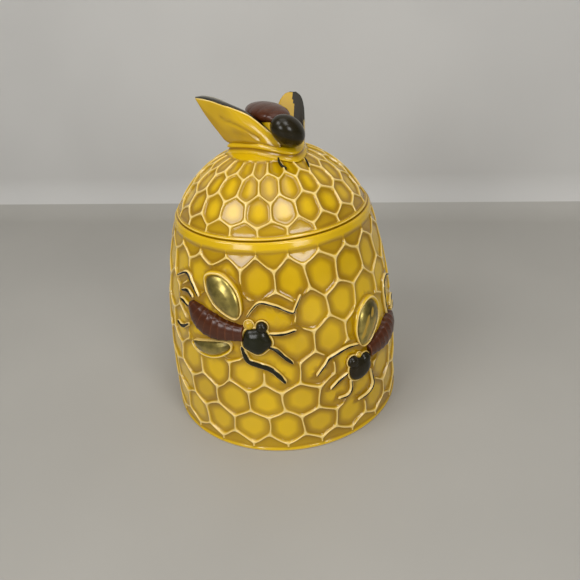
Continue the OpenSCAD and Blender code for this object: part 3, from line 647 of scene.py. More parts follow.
def buildAbdomen(name, bee, turn):
    # a long half round along the spine, ringed by shallow grooves and rounded off at its tip
    b = beeShape
    count, widest = 150, 4.9
    spine = throughPoints(bee["spine"], count)
    side = sideways(spine)
    t = np.linspace(0, 1, count)
    half = throughPoints(np.array(b["abdomenHalf"])[:, None], count)[:, 0]
    hollow = np.abs(np.sin(math.pi * b["rings"] * t)) ** 0.6
    form = (1 - b["groove"] * hollow) * np.sqrt(1 - np.clip((t - 0.965) / 0.035, 0, 1) ** 2 * 0.9)
    turnTo = np.radians(np.linspace(0, 180, 19))
    x = np.concatenate([np.cos(turnTo), [-1.04, -1.08, 1.08, 1.04]])
    rings = []
    for i in range(count):
        h = 0.25 + (b["abdomenH"] - 0.25) * (half[i] / widest) * form[i]
        y = np.concatenate([0.15 + (h - 0.15) * np.sin(turnTo) ** 0.8, [-0.8, -b["seat"], -b["seat"], -0.8]])
        rings.append(onWall(bee, turn, spine[i] + side[i] * (x * half[i] * form[i])[:, None], y))
    points, faces = sheet(rings)
    marks = np.append(np.repeat(2 * hollow, len(x)), [1, 1])
    pool = np.append(np.repeat(0.5 * hollow, len(x)), [1, 1])
    return makeMesh(name, points, faces, marks, pool)


def ovalRing(at, size, count, lobes=0, phase=0):
    t = np.linspace(0, 2 * math.pi, count, endpoint=False)
    r = 1 + 0.05 * np.cos(lobes * t + math.radians(phase)) if lobes else 1
    return np.stack([at[0] + size[0] * r * np.cos(t), at[1] + size[1] * r * np.sin(t)], -1)


def buildHead(name, bee, turn):
    # a lumpy dome with its eyes, in a low yellow edge
    b = beeShape
    parts, slots = [], []
    shapes = [(ovalRing(bee["head"]["at"], bee["head"]["size"], 60, bee["head"]["lobes"],
                        bee["head"]["phase"]), b["headH"], 0.9, 1)]
    shapes += [(ovalRing(eye["at"], (eye["r"], eye["r"]), 36), b["eyeH"], 0.5, 1) for eye in bee["eyes"]]
    bare = bee["bareEye"]
    shapes.append((ovalRing(bare["at"], (bare["r"], bare["r"]), 30), b["eyeH"] * 0.42, 0.5, 0))
    for ring, height, width, slot in shapes:
        n = len(ring)
        normal = outlineNormals(ring)
        rings = domeRings(bee, turn, ring, height, 0.15, 9, 0.5)
        marks = [np.full(n, 5.0 if slot else 0.4)] * 9
        for grow, h, mark in ((0.15, 0.1, 1.0), (0.4, 0.28, 0.1), (0.65, 0.22, 0.1), (0.9, -0.2, 0.5),
                              (1.05, -0.9, 1.2), (1.1, -b["seat"], 1.2)):
            rings.append(onWall(bee, turn, ring + normal * width * grow, h))
            marks.append(np.full(n, mark))
        parts.append((*sheet(rings), np.append(np.concatenate(marks), [5, 5])))
        slots += [slot if i // n < 8 else 0 for i in range((len(rings) - 1) * n)] + [slot, 0] * n
    points, faces, marks = together(*parts)
    return makeMesh(name, points, faces, marks, pooledAt(marks) * (marks < 4), slots)


def legRings(bee, turn, path, form):
    # half-round sections with a black line along the top, and how many points each has
    b = beeShape
    length = np.linalg.norm(np.diff(np.asarray(path, float), axis=0), axis=1).sum()
    count = max(16, int(length / 0.4))
    line = throughPoints(path, count)
    for _ in range(2):
        line[1:-1] = line[1:-1] * 0.5 + (line[:-2] + line[2:]) * 0.25
    side = sideways(line)
    if side[:, 1].sum() < 0:
        side = -side
    s = stepsAlong(line)
    fromEnd = np.minimum(s, s[-1] - s)
    taper = np.sqrt(1 - (1 - np.clip(fromEnd / 1.1, 0.02, 1)) ** 2)
    thick = 0.82 + 0.3 * np.sin(math.pi * np.clip(s / s[-1], 0, 1)) ** 0.8
    ink = form[1] * (0.8 + 0.3 * np.sin(math.pi * s / s[-1]) + 0.14 * np.sin(1.3 * s + 2))
    ink = ink * np.clip(fromEnd / 0.7, 0.05, 1)
    x = np.array([-1.3, -1.15, -1, -0.82, -0.66, -1, -0.5, 0, 0.5, 1, 0.72, 0.86, 1, 1.15, 1.3])
    dip = 0.45  # mm that the leg's foot lies under the wall's plain surface
    rings, marks = [], []
    for i in range(count):
        w = b["legHalf"] * taper[i] * thick[i] * form[0]
        across = x * w
        across[5:10] = x[5:10] * min(ink[i], 0.68) * w + 0.1 * w
        q = np.abs(across) / max(w, 1e-6)
        h = (b["legH"] + dip) * (1 - np.minimum(q, 1) ** 2.4) - dip
        h = np.where(q < 1, h * (0.4 + 0.6 * taper[i]), -dip - (q - 1) * (b["seat"] - dip) / 0.3)
        rings.append(onWall(bee, turn, line[i] + side[i] * across[:, None], h))
        marks.append(np.clip((q - 0.8) * 2.6, 0.05, 1.2))
    return rings, np.concatenate(marks), len(x)


def buildLegs(name, bee, turn):
    parts, slots = [], []
    for leg, form in zip(bee["legs"], bee["legForm"]):
        rings, marks, n = legRings(bee, turn, leg, form)
        parts.append((*sheet(rings), np.append(marks, [1.2, 1.2])))
        slots += [1 if 5 <= i % n < 9 else 0 for i in range((len(rings) - 1) * n)] + [0, 0] * n
    points, faces, marks = together(*parts)
    return makeMesh(name, points, faces, marks, pooledAt(marks), slots)


# The knob bee, which faces the front and 30 degrees to the right. Its wings run along four rails, as shares
# of the left wing's length from the crown's top. A vein's points are shares along and up the wing's face,
# and its depth and width follow them. A stroke is a path on the dome, with half its width.

knobBee = {
    "heading": (0.5, -0.866), "beside": (0.866, 0.5), "wingL": 24.1,
    "bulge": 0.07, "blackBand": 4.6, "rightBand": 3.5,
    "stations": 56, "topSteps": 18, "underSteps": 12, "faceSteps": 18,
    "front": [(0.2, -0.5, 0.12), (0.05, -0.4, 0.26), (-0.22, -0.3, 0.49), (-0.47, -0.25, 0.61),
              (-0.6, -0.23, 0.655), (-0.74, -0.19, 0.71), (-0.89, -0.11, 0.742), (-1, -0.03, 0.752)],
    "rear": [(0.05, -0.1, 0.2), (-0.15, 0.1, 0.33), (-0.28, 0.2, 0.42), (-0.5, 0.25, 0.55),
             (-0.62, 0.25, 0.63), (-0.75, 0.2, 0.7), (-0.89, 0.14, 0.746), (-1, 0.03, 0.757)],
    "keel": [(0.2, -0.52, 0.02), (0.08, -0.5, 0.05), (-0.1, -0.41, 0.07), (-0.33, -0.28, 0.075),
             (-0.6, 0.03, 0.02), (-0.74, 0.02, 0.21), (-0.885, 0, 0.47), (-1, -0.02, 0.735)],
    "root": [(0.1, -0.2, -0.1), (-0.02, -0.1, -0.12), (-0.15, -0.05, -0.1), (-0.33, 0.05, -0.03),
             (-0.54, 0.2, 0.05), (-0.7, 0.14, 0.3), (-0.86, 0.1, 0.53), (-1, 0.01, 0.745)],
    "rightFront": [(0.58, 0.08, 0), (0.605, 0.24, 0.17), (0.625, 0.38, 0.3), (0.63, 0.51, 0.42),
                   (0.6, 0.62, 0.52), (0.53, 0.69, 0.575)],
    "rightRear": [(0.16, 0.24, 0.04), (0.15, 0.37, 0.2), (0.17, 0.48, 0.34), (0.23, 0.58, 0.47),
                  (0.33, 0.66, 0.56), (0.43, 0.7, 0.58)],
    "rightKeel": [(0.6, 0.24, -0.15), (0.625, 0.36, 0.03), (0.64, 0.47, 0.19), (0.64, 0.57, 0.35),
                  (0.61, 0.65, 0.49), (0.53, 0.7, 0.56)],
    "rightRoot": [(0.35, 0.36, -0.15), (0.37, 0.46, 0.03), (0.39, 0.55, 0.2), (0.42, 0.63, 0.36),
                  (0.46, 0.68, 0.5), (0.48, 0.71, 0.56)],
    "veins": [([(0.62, 0.66), (0.52, 0.6), (0.4, 0.46), (0.28, 0.24)], 0.5, 0.5),
              ([(0.5, 0.3), (0.38, 0.22), (0.28, 0.12)], 0.3, 1.7)],
    "head": {"at": (7.6, -12.8, 6.8), "size": (6.2, 5.75, 5.8), "tilt": -16, "rings": 0, "groove": 0,
             "steps": (40, 48)},
    "abdomen": {"at": (1.1, 1.6, 10.4), "size": (11.4, 6.7, 3.3), "tilt": -2, "rings": 7, "groove": 0.025,
                "steps": (110, 40)},
    "thorax": {"at": (2, -2.6), "size": (9.6, 5.6)},
    "foot": [(-14.9, 0.8, 107.9), (-11.4, -3.6, 108.7), (-7.9, -6.6, 109.2), (-4.5, -9, 109.3),
             (-1.7, -10.9, 109.1), (2.3, -12.9, 108.5), (6.3, -14, 107.7), (10, -13.4, 107.2),
             (12.3, -10.4, 107.3), (13.6, -6, 107.7), (14, 0, 108.2), (13, 6, 108.2),
             (8, 10, 108), (0, 11, 108.2), (-8, 8.5, 108), (-13, 5, 107.7)],
    "strokes": [([(3.7, -12.3), (3.7, -14.8), (4.6, -17.0), (6.2, -18.1)], 0.37),
                ([(13.2, -11.3), (13.9, -13.5), (14.3, -15.8)], 0.34)],
}


def crownTop():
    return potSize["rimZ"] + lidSize["rise"]


def wingSection(front, rear, keel, root, right):
    # one section of a wing: its top, its underside, and the face between its keel and its front edge
    k = knobBee
    rise = np.linalg.norm(rear - front) * k["bulge"] * (-0.6 if right else 1)
    top = throughPoints([front, front * 0.7 + rear * 0.3 + [0, 0, rise], rear], 60)
    share = stepsAlong(top)
    share /= max(share[-1], 1e-9)
    wanted = np.linspace(0, 1, k["topSteps"], endpoint=False) ** 1.3
    top = np.stack([np.interp(wanted, share, top[:, c]) for c in range(3)], -1)
    under = throughPoints([rear, root, keel], k["underSteps"] + 1)[:-1]
    v = np.linspace(0, 1, k["faceSteps"], endpoint=False)[:, None]
    out = unit(np.cross(front - keel, [0.2, 1.0, 0.6] if right else [-1.0, 0.2, 0.4]))
    if not (out[0] > 0 if right else out[1] < 0):
        out = -out
    swell = 0.02 * np.linalg.norm(front - keel)
    face = keel * (1 - v) + front * v + out * (4 * v * (1 - v)) * swell
    return roundRing(np.concatenate([top, under, face]), 2)


def wingPoolAndShade(section, keel, station, right):
    # how deep the glaze is darkened on a section: along the keel at the wing's foot by pooled glaze and
    # painted shade, in the lower half of its face, and over the right wing's top
    k = knobBee
    # pooled glaze and painted shade along the keel, where the wing meets the foot
    foot = 1 - smoothStep(np.linalg.norm(section - keel, axis=1), 0.3, 2.2)
    hollow = np.zeros(len(section))
    hollow[k["topSteps"] + k["underSteps"]:] = 0.45 * (
        1 - smoothStep(np.linspace(0, 1, k["faceSteps"]), 0.3, 0.55))
    if right:
        hollow[:k["topSteps"]] = 0.55
    else:
        hollow *= smoothStep(station / k["stations"], 0.15, 0.3)
    return np.maximum(0.9 * foot * (station < k["stations"] * 0.6), hollow)


def cutVeins(points, faces, rail):
    # presses the veins into the wing's face; gives the points, and how thick the glaze lies in them
    normals = np.zeros_like(points)
    for f in faces:
        c = np.cross(points[f[1]] - points[f[0]], points[f[2]] - points[f[0]])
        for i in f:
            normals[i] += c
    normals = normals / np.maximum(np.linalg.norm(normals, axis=1), 1e-9)[:, None]
    pool = np.zeros(len(points))
    for line, depth, width in knobBee["veins"]:
        station, share = throughPoints(line, 20).T
        at = (station * (knobBee["stations"] - 1)).astype(int)
        d = toPolyline(points, rail["keel"][at] * (1 - share)[:, None] + rail["front"][at] * share[:, None])
        dip = np.exp(-(d / width) ** 2)
        points = points - normals * (depth * dip)[:, None]
        pool = np.maximum(pool, dip * (0.9 if width < 1 else 0.55))
    return points, pool


def wingSlots(onTop, right):
    # yellow 0, black 1 along the front edge and at the tip, gilt 2 behind it on the left wing's top
    k = knobBee
    n = k["topSteps"] + k["underSteps"] + k["faceSteps"]
    slots = []
    for s in range(k["stations"] - 1):
        reach = onTop[s]
        edge = min(k["rightBand"], reach[-1] * 0.5) if right else min(k["blackBand"], reach[-1] * 0.72)
        for i in range(n):
            if right and i >= n - k["faceSteps"] * 0.7 and s > k["stations"] * 0.25:
                slots.append(1)
            elif i >= k["topSteps"] - 1 or i < 1:
                slots.append(1 if right and i < 1 else 0)
            else:
                slots.append(1 if reach[i] < edge or s > k["stations"] * 0.93 else 0 if right else 2)
    return slots + [0, 0] * n


def buildKnobWing(name, right):
    k = knobBee
    names = ("front", "rear", "keel", "root")
    rail = {key: throughPoints(k["right" + key.capitalize() if right else key], k["stations"]) * k["wingL"]
            + [0, 0, crownTop()] for key in names}
    rings, marks, pool, onTop = [], [], [], []
    for i in range(k["stations"]):
        front, rear, keel, root = (rail[key][i] for key in names)
        section = wingSection(front, rear, keel, root, right)
        away = np.linalg.norm(section - front, axis=1)
        rings.append(section)
        marks.append(np.minimum(0.15 + away * 0.5, 5))
        pool.append(wingPoolAndShade(section, keel, i, right))
        onTop.append(away[:k["topSteps"]])
    points, faces = sheet(rings)
    pool = np.append(np.concatenate(pool), [0, 0])
    if not right:
        points, inVeins = cutVeins(points, faces, rail)
        pool = np.maximum(pool, inVeins)
    marks = np.append(np.concatenate(marks), [5, 0.2])
    return makeMesh(name, points, faces, marks, pool, wingSlots(onTop, right))


def buildEgg(name, spec, along):
    # an egg on its side, along a heading, with shallow rings if asked
    stations, count = spec["steps"]
    t = np.linspace(0.012, 0.988, stations) * math.pi
    u = np.linspace(0, 2 * math.pi, count, endpoint=False)
    bands = np.sin(spec["rings"] * np.linspace(0, 1, stations) * math.pi)
    band = np.abs(bands) ** 0.5 if spec["rings"] else np.ones(stations)
    w = np.sin(t) * (1 - spec["groove"] * (1 - band))
    x = -np.cos(t) * spec["size"][0]
    rings = []
    for i in range(stations):
        q = spec["size"][1] * w[i] * np.cos(u)
        up = spec["size"][2] * w[i] * np.sin(u) + x[i] * math.tan(math.radians(spec["tilt"]))
        rings.append(np.stack([spec["at"][0] + along[0] * x[i] - along[1] * q,
                               spec["at"][1] + along[1] * x[i] + along[0] * q,
                               crownTop() + spec["at"][2] + up], -1))
    points, faces = sheet(rings)
    if not spec["rings"]:
        return makeMesh(name, points, faces)
    marks = np.append(np.repeat(0.6 + 2 * (1 - band), count), [1, 1])
    pool = np.append(np.repeat(0.6 * (1 - band), count), [0.5, 0.5])
    return makeMesh(name, points, faces, marks, pool)


def thoraxBlock():
    k = knobBee
    at, size = k["thorax"]["at"], k["thorax"]["size"]
    h, side = np.array(k["heading"]), np.array(k["beside"])
    t = np.linspace(0, 2 * math.pi, 64, endpoint=False)[:, None]
    levels = ((0.9, -4), (0.93, 0.5), (0.95, 1.2), (0.93, 2.4), (0.88, 3.8), (0.8, 5.3), (0.72, 7),
              (0.66, 8.4), (0.6, 9.4), (0.5, 10.1), (0.34, 10.4), (0.15, 10.5))
    rings = []
    for share, up in levels:
        flat = at + share * (h * size[0] * np.cos(t) + side * size[1] * np.sin(t))
        rings.append(np.concatenate([flat, np.full((64, 1), crownTop() + up)], 1))
    return (*sheet(rings), 5.0)


def knobFoot():
    # A ledge round the bee, with a shoulder that flares out from under it and runs out on the dome. A step
    # of the ledge is its reach, height, mark and pool, and one of the flare its way out, mark and pool. The
    # pool under the ledge and at the flare's top is pooled glaze and painted shade in the undercut.
    ledge = ((0.62, 2.2, 5, 0), (0.8, 1.9, 5, 0), (0.88, 1.5, 5, 0), (0.94, 0.95, 3, 0), (0.98, 0.5, 0.8, 0),
             (1.0, 0.0, 0.5, 0), (0.985, -0.3, 0.8, 0.3), (0.96, -0.5, 2, 1.2), (0.945, -0.6, 2, 1.6))
    flare = ((0.08, 2, 1.3), (0.2, 3, 0.6), (0.4, 5, 0.2), (0.65, 5, 0), (1.0, 5, 0))
    _, domeR, domeZ = domeSize()
    ring = throughPoints(knobBee["foot"], 120, True)
    middle = ring.mean(0)[:2]

    def domeAt(flat):
        return domeZ + np.sqrt(domeR ** 2 - (flat ** 2).sum(1))[:, None]

    rings = []
    for grow, up, _, _ in ledge:
        rings.append(np.concatenate([middle + (ring[:, :2] - middle) * grow, ring[:, 2:] + up], 1))
    lift = rings[-1][:, 2:] - domeAt(rings[-1][:, :2])
    for share, _, _ in flare:
        flat = middle + (ring[:, :2] - middle) * (0.945 + 0.13 * share)
        rings.append(np.concatenate([flat, domeAt(flat) + lift * (1 - share) ** 3 - 0.04 * share], 1))
    marks, pool = (np.repeat([step[i] for step in ledge + flare], 120) for i in (-2, -1))
    return (*sheet(rings), np.append(marks, [5, 2])), np.append(pool, [0, 0])


def buildKnobBody():
    block, (foot, pool) = thoraxBlock(), knobFoot()
    points, faces, marks = together(block, foot)
    return makeMesh("knob_thorax_glazed", points, faces, marks,
                    np.concatenate([np.zeros(len(block[0])), pool]))


def buildStrokes():
    # two painted leg strokes that run down from the bee over the comb
    _, domeR, domeZ = domeSize()
    section = ((-1, -0.5), (-1, 0.16), (-0.6, 0.28), (0, 0.32), (0.6, 0.28), (1, 0.16), (1, -0.5))
    t = np.linspace(0, 1, 24)
    parts = []
    for path, half in knobBee["strokes"]:
        line = throughPoints(path, len(t))
        side = sideways(line)
        w = half * np.sqrt(np.clip(1 - (2 * t - 1) ** 4, 0.01, 1)) * (1.1 - 0.4 * t)
        rings = []
        for x, h in section:
            p = line + side * (w * x)[:, None]
            z = domeZ + np.sqrt((domeR + h) ** 2 - (p ** 2).sum(1))
            rings.append(np.concatenate([p, z[:, None]], 1))
        parts.append((*sheet(np.transpose(np.array(rings), (1, 0, 2))), 5.0))
    return makeMesh("lid_leg_strokes", *together(*parts))


# materials

def newMaterial(name):
    material = bpy.data.materials.new(name)
    material.use_nodes = True
    tree = material.node_tree
    return material, tree, tree.nodes["Principled BSDF"]


def addNode(tree, kind, **settings):
    node = tree.nodes.new(kind)
    for key, value in settings.items():
        setattr(node, key, value)
    return node


def plug(tree, value, socket):
    if isinstance(value, bpy.types.NodeSocket):
        tree.links.new(value, socket)
    else:
        socket.default_value = value


def setInputs(node, **values):
    # sockets by name, with an underscore for a space
    for key, value in values.items():
        node.inputs[key.replace("_", " ")].default_value = value


def grain(tree, shader, height, strength, distance):
    bump = addNode(tree, "ShaderNodeBump")
    setInputs(bump, Strength=strength, Distance=distance)
    tree.links.new(height, bump.inputs["Height"])
    tree.links.new(bump.outputs["Normal"], shader.inputs["Normal"])


def calc(tree, operation, a, b=0.0, clamp=False):
    node = addNode(tree, "ShaderNodeMath", operation=operation, use_clamp=clamp)
    plug(tree, a, node.inputs[0])
    plug(tree, b, node.inputs[1])
    return node.outputs[0]


def between(tree, value, low, high, outLow, outHigh):
    node = addNode(tree, "ShaderNodeMapRange", interpolation_type="SMOOTHSTEP")
    for key, v in (("Value", value), ("From Min", low), ("From Max", high),
                   ("To Min", outLow), ("To Max", outHigh)):
        plug(tree, v, node.inputs[key])
    return node.outputs["Result"]


def blend(tree, share, a, b):
    node = addNode(tree, "ShaderNodeMix", data_type="RGBA")
    plug(tree, share, node.inputs[0])
    plug(tree, a, node.inputs[6])
    plug(tree, b, node.inputs[7])
    return node.outputs[2]


def noiseAt(tree, scale, detail=2):
    place = addNode(tree, "ShaderNodeTexCoord")
    noise = addNode(tree, "ShaderNodeTexNoise")
    setInputs(noise, Scale=scale, Detail=detail)
    tree.links.new(place.outputs["Object"], noise.inputs["Vector"])
    return noise.outputs["Fac"]


def glazeGroup():
    # a run glaze: thin and pale on a crest, thick and deep where it has pooled, cloudy between; the pooled
    # input also darkens it with painted shade
    group = bpy.data.node_groups.new("Run glaze", "ShaderNodeTree")
    for name, kind, default in (
            ("From Ridge", "NodeSocketFloat", 5), ("Pooled", "NodeSocketFloat", 0),
            ("Crest", "NodeSocketColor", (0.9, 0.7, 0.3, 1)),
            ("Body", "NodeSocketColor", (0.7, 0.43, 0.03, 1)),
            ("Pool", "NodeSocketColor", (0.4, 0.2, 0.01, 1)), ("Ridge Width", "NodeSocketFloat", 0.5),
            ("Pool Strength", "NodeSocketFloat", 0.7), ("Cloud", "NodeSocketFloat", 0.25)):
        group.interface.new_socket(name, in_out="INPUT", socket_type=kind).default_value = default
    group.interface.new_socket("Color", in_out="OUTPUT", socket_type="NodeSocketColor")
    group.interface.new_socket("Height", in_out="OUTPUT", socket_type="NodeSocketFloat")
    start, end = addNode(group, "NodeGroupInput"), addNode(group, "NodeGroupOutput")
    given = start.outputs
    fine, broad = noiseAt(group, 110, 3), noiseAt(group, 30)
    jitter = calc(group, "MULTIPLY", calc(group, "SUBTRACT", fine, 0.5), 0.3)
    distance = calc(group, "ADD", given["From Ridge"], jitter)
    crest = between(group, distance, calc(group, "MULTIPLY", given["Ridge Width"], 0.55),
                    calc(group, "MULTIPLY", given["Ridge Width"], 1.45), 1.0, 0.0)
    cloud = calc(group, "MULTIPLY", between(group, broad, 0.38, 0.68, 0.0, 1.0), given["Cloud"])
    pool = calc(group, "MULTIPLY", given["Pooled"], given["Pool Strength"])
    pool = calc(group, "ADD", pool, cloud, clamp=True)
    colour = blend(group, pool, given["Body"], given["Pool"])
    colour = blend(group, crest, colour, given["Crest"])
    group.links.new(colour, end.inputs["Color"])
    group.links.new(fine, end.inputs["Height"])
    return group


glazeLooks = {
    "yellow_run_glaze": {
        "crest": (0.85, 0.62, 0.2, 1), "body": (0.74, 0.465, 0.003, 1), "pool": (0.33, 0.175, 0.0005, 1),
        "ridge": 0.3, "pooling": 0.82, "cloud": 0.3, "roughness": 0.18, "coat": 0.2, "shine": 0.5,
        "grain": 0.08},
    "brown_glaze": {
        "crest": (0.15, 0.045, 0.014, 1), "body": (0.085, 0.021, 0.005, 1), "pool": (0.05, 0.012, 0.003, 1),
        "ridge": 0.4, "pooling": 0.8, "cloud": 0.5, "roughness": 0.27, "coat": 0.12, "shine": 0.35,
        "grain": 0.12},
    "black_glaze": {
        "crest": (0.012, 0.011, 0.004, 1), "body": (0.009, 0.011, 0.003, 1), "pool": (0.02, 0.01, 0.002, 1),
        "ridge": 0.3, "pooling": 0.5, "cloud": 0.7, "roughness": 0.24, "coat": 0.05, "shine": 0.3,
        "grain": 0.08},
}


def glazeMaterial(name, group):
    look = glazeLooks[name]
    material, tree, shader = newMaterial(name)
    glaze = addNode(tree, "ShaderNodeGroup")
    glaze.node_tree = group
    for key, attribute in (("From Ridge", "fromRidge"), ("Pooled", "pooled")):
        node = addNode(tree, "ShaderNodeAttribute", attribute_name=attribute)
        tree.links.new(node.outputs["Fac"], glaze.inputs[key])
    setInputs(glaze, Crest=look["crest"], Body=look["body"], Pool=look["pool"], Ridge_Width=look["ridge"],
              Pool_Strength=look["pooling"], Cloud=look["cloud"])
    tree.links.new(glaze.outputs["Color"], shader.inputs["Base Color"])
    setInputs(shader, Roughness=look["roughness"], Specular_IOR_Level=look["shine"],
              Coat_Weight=look["coat"], Coat_Roughness=0.05)
    grain(tree, shader, glaze.outputs["Height"], look["grain"], 0.0006)
    return material


giltLook = {
    "bright": (0.5, 0.39, 0.085, 1), "dull": (0.14, 0.105, 0.014, 1), "bare": (0.42, 0.25, 0.01, 1),
    "roughness": (0.3, 0.45), "coat": 0.8, "coatRoughness": 0.3, "grain": 0.12,
}


def giltMaterial():
    # gold lustre, dull in clouds, with the yellow glaze bare where it has worn off
    g = giltLook
    material, tree, shader = newMaterial("gilt_lustre")
    cloud = between(tree, noiseAt(tree, 170, 4), 0.35, 0.66, 0.0, 1.0)
    worn = addNode(tree, "ShaderNodeAttribute", attribute_name="worn")
    bare = between(tree, worn.outputs["Fac"], 0.0, 0.25, 0.0, 1.0)
    gold = blend(tree, cloud, g["bright"], g["dull"])
    tree.links.new(blend(tree, bare, gold, g["bare"]), shader.inputs["Base Color"])
    tree.links.new(calc(tree, "SUBTRACT", 1.0, bare), shader.inputs["Metallic"])
    low, high = g["roughness"]
    tree.links.new(between(tree, cloud, 0.0, 1.0, low, high), shader.inputs["Roughness"])
    setInputs(shader, Coat_Weight=g["coat"], Coat_Roughness=g["coatRoughness"])
    grain(tree, shader, noiseAt(tree, 260, 2), g["grain"], 0.0005)
    return material


# the stage, lights and camera

cameraSet = {
    "place": (0, -236.862, 175.151), "pitch": 28.778, "yaw": 1.037, "roll": -4.526,
    "focal": 645.06, "framePixels": 580, "sensor": 36,
}
studio = {
    "table": (0.39, 0.372, 0.335), "wall": (0.565, 0.551, 0.523), "backLine": 223, "sweep": 26,
    "windows": [
        {"az": -62, "el": 47, "far": 0.62, "size": (0.24, 0.24), "power": 0.95},
        {"az": -36, "el": 18, "far": 0.62, "size": (0.2, 0.22), "power": 1.0},
        {"az": 19, "el": 56, "far": 0.62, "size": (0.22, 0.24), "power": 0.95},
        {"az": 27, "el": 19, "far": 0.62, "size": (0.18, 0.2), "power": 0.92},
        {"az": 0, "el": 84, "far": 0.75, "size": (0.5, 0.5), "power": 1.0}],
    "skyTop": (0.22, 0.225, 0.23, 1), "skyLow": (0.17, 0.17, 0.165, 1), "world": 1.0,
}


def cameraAxes():
    c = cameraSet
    cp, sp = math.cos(math.radians(c["pitch"])), math.sin(math.radians(c["pitch"]))
    cy, sy = math.cos(math.radians(c["yaw"])), math.sin(math.radians(c["yaw"]))
    cr, sr = math.cos(math.radians(c["roll"])), math.sin(math.radians(c["roll"]))
    forward = Vector((sy * cp, cy * cp, -sp))
    level = Vector((cy, -sy, 0))
    rise = level.cross(forward)
    return cr * level + sr * rise, cr * rise - sr * level, forward


def buildCamera():
    c = cameraSet
    right, up, forward = cameraAxes()
    camera = bpy.data.cameras.new("camera")
    camera.sensor_width = c["sensor"]
    camera.lens = c["sensor"] * c["focal"] / c["framePixels"]
    camera.clip_start = 0.01
    obj = addObject("camera", camera)
    obj.matrix_world = Matrix.Translation(Vector(c["place"]) * mm) @ Matrix(
        (right, up, -forward)).transposed().to_4x4()
    bpy.context.scene.camera = obj


def onTable(x, y):
    # the point of the table behind a point of the picture
    c = cameraSet
    right, up, forward = cameraAxes()
    ray = forward * c["focal"] + right * (x - c["framePixels"] / 2) + up * (c["framePixels"] / 2 - y)
    place = Vector(c["place"])
    return place - ray * (place.z / ray.z)


def plainMaterial(name, colour, roughness):
    material, tree, shader = newMaterial(name)
    share = between(tree, noiseAt(tree, 9), 0.3, 0.7, 0.0, 1.0)
    dark, light = ((*[v * k for v in colour], 1) for k in (0.97, 1.03))
    tree.links.new(blend(tree, share, dark, light), shader.inputs["Base Color"])
    setInputs(shader, Roughness=roughness)
    return material


def openFromBehind(material):
    # a wall that can be looked through from its far side
    tree = material.node_tree
    side, clear, choice = (addNode(tree, kind) for kind in (
        "ShaderNodeNewGeometry", "ShaderNodeBsdfTransparent", "ShaderNodeMixShader"))
    tree.links.new(side.outputs["Backfacing"], choice.inputs[0])
    tree.links.new(tree.nodes["Principled BSDF"].outputs[0], choice.inputs[1])
    tree.links.new(clear.outputs[0], choice.inputs[2])
    tree.links.new(choice.outputs[0], tree.nodes["Material Output"].inputs["Surface"])
    return material


def buildStage():
    # the far edge of the table looks level in the picture, and the wall rises from it in a small sweep
    a, b = onTable(0, studio["backLine"]), onTable(cameraSet["framePixels"], studio["backLine"])
    along = (b - a).normalized()
    back = Vector((-along.y, along.x, 0))
    middle = (a + b) / 2
    r = studio["sweep"]
    bend = [(r * math.sin(t), r - r * math.cos(t)) for t in np.radians(np.linspace(0, 90, 13))]

    def strip(name, profile):
        points = [tuple(middle + along * x + back * y + Vector((0, 0, z)))
                  for y, z in profile for x in (-2600, 2600)]
        faces = [(2 * i, 2 * i + 1, 2 * i + 3, 2 * i + 2) for i in range(len(profile) - 1)]
        return makeMesh(name, points, faces)

    table = strip("table_top", [(-2600, 0)] + bend[:7])
    wall = strip("back_wall", bend[6:] + [(r, 2200)])
    table.data.materials.append(plainMaterial("pale_table", studio["table"], 0.5))
    wall.data.materials.append(openFromBehind(plainMaterial("pale_wall", studio["wall"], 0.9)))


def buildLight(name, spec):
    light = bpy.data.lights.new(name, "AREA")
    light.shape = "RECTANGLE"
    light.size, light.size_y = spec["size"]
    light.energy = spec["power"]
    obj = addObject(name, light)
    a, e = math.radians(spec["az"]), math.radians(spec["el"])
    target = Vector((0, 0, 0.07))  # the pot's middle
    out = Vector((math.sin(a) * math.cos(e), -math.cos(a) * math.cos(e), math.sin(e)))
    obj.location = target + out * spec["far"]
    obj.rotation_euler = out.to_track_quat("Z", "Y").to_euler()


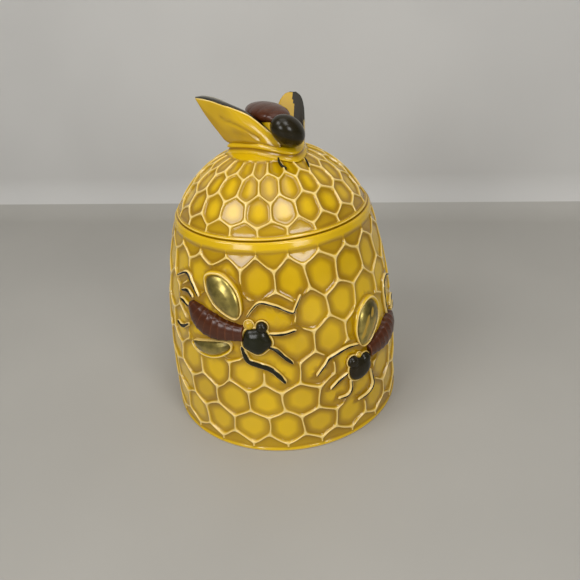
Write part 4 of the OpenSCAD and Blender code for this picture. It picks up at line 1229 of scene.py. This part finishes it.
def buildWorld():
    # a soft room, lighter overhead
    world = bpy.data.worlds.new("studio")
    bpy.context.scene.world = world
    world.use_nodes = True
    tree = world.node_tree
    background = tree.nodes["Background"]
    place = addNode(tree, "ShaderNodeTexCoord")
    split = addNode(tree, "ShaderNodeSeparateXYZ")
    tree.links.new(place.outputs["Generated"], split.inputs["Vector"])
    share = between(tree, split.outputs["Z"], -0.1, 0.9, 0.0, 1.0)
    tree.links.new(blend(tree, share, studio["skyLow"], studio["skyTop"]), background.inputs["Color"])
    setInputs(background, Strength=studio["world"])


bpy.context.scene.view_settings.view_transform = "Standard"
buildCamera()
buildStage()
buildWorld()
for i, window in enumerate(studio["windows"]):
    buildLight(f"window_{i + 1}", window)
print("studio built")

group = glazeGroup()
yellow, brown, black = (glazeMaterial(name, group) for name in glazeLooks)
gilt = giltMaterial()
print("glazes mixed")

dress(buildPot(), "pot", "yellow_glaze", [yellow], "pot_shell")
dress(buildLid(), "lid", "yellow_glaze", [yellow], "lid_shell")
print("pot and lid built")

relief = (("abdomen", buildAbdomen, "brown_glaze", [brown]),
          ("head", buildHead, "black_glaze", [yellow, black]),
          ("legs", buildLegs, "black_glaze", [yellow, black]))
for side, bee in (("left", leftBee), ("right", rightBee)):
    for place, turn in (("front", 0), ("back", 180)):
        stem = f"{place}_{side}_"
        for part, build, slot, materials in relief:
            dress(build(f"{stem}{part}_glazed", bee, turn), "pot", slot, materials, stem + part)
        for wing in bee["wings"]:
            obj = buildWing(stem + wing["name"] + "_gilt", bee, turn, wing)
            dress(obj, "pot", "gilt", [yellow, gilt], stem + wing["name"])
print("relief bees built")

head = buildEgg("knob_head_glazed", knobBee["head"], knobBee["beside"])
dress(head, "lid", "black_glaze", [black], "knob_head")
abdomen = buildEgg("knob_abdomen_glazed", knobBee["abdomen"], knobBee["heading"])
dress(abdomen, "lid", "brown_glaze", [brown], "knob_abdomen")
dress(buildKnobBody(), "lid", "yellow_glaze", [yellow], "knob_thorax")
for name, right in (("knob_wing_left", False), ("knob_wing_right", True)):
    dress(buildKnobWing(name + "_glazed", right), "lid", "yellow_glaze", [yellow, black, gilt], name)
dress(buildStrokes(), "lid", "black_glaze", [black])
print("knob bee built")
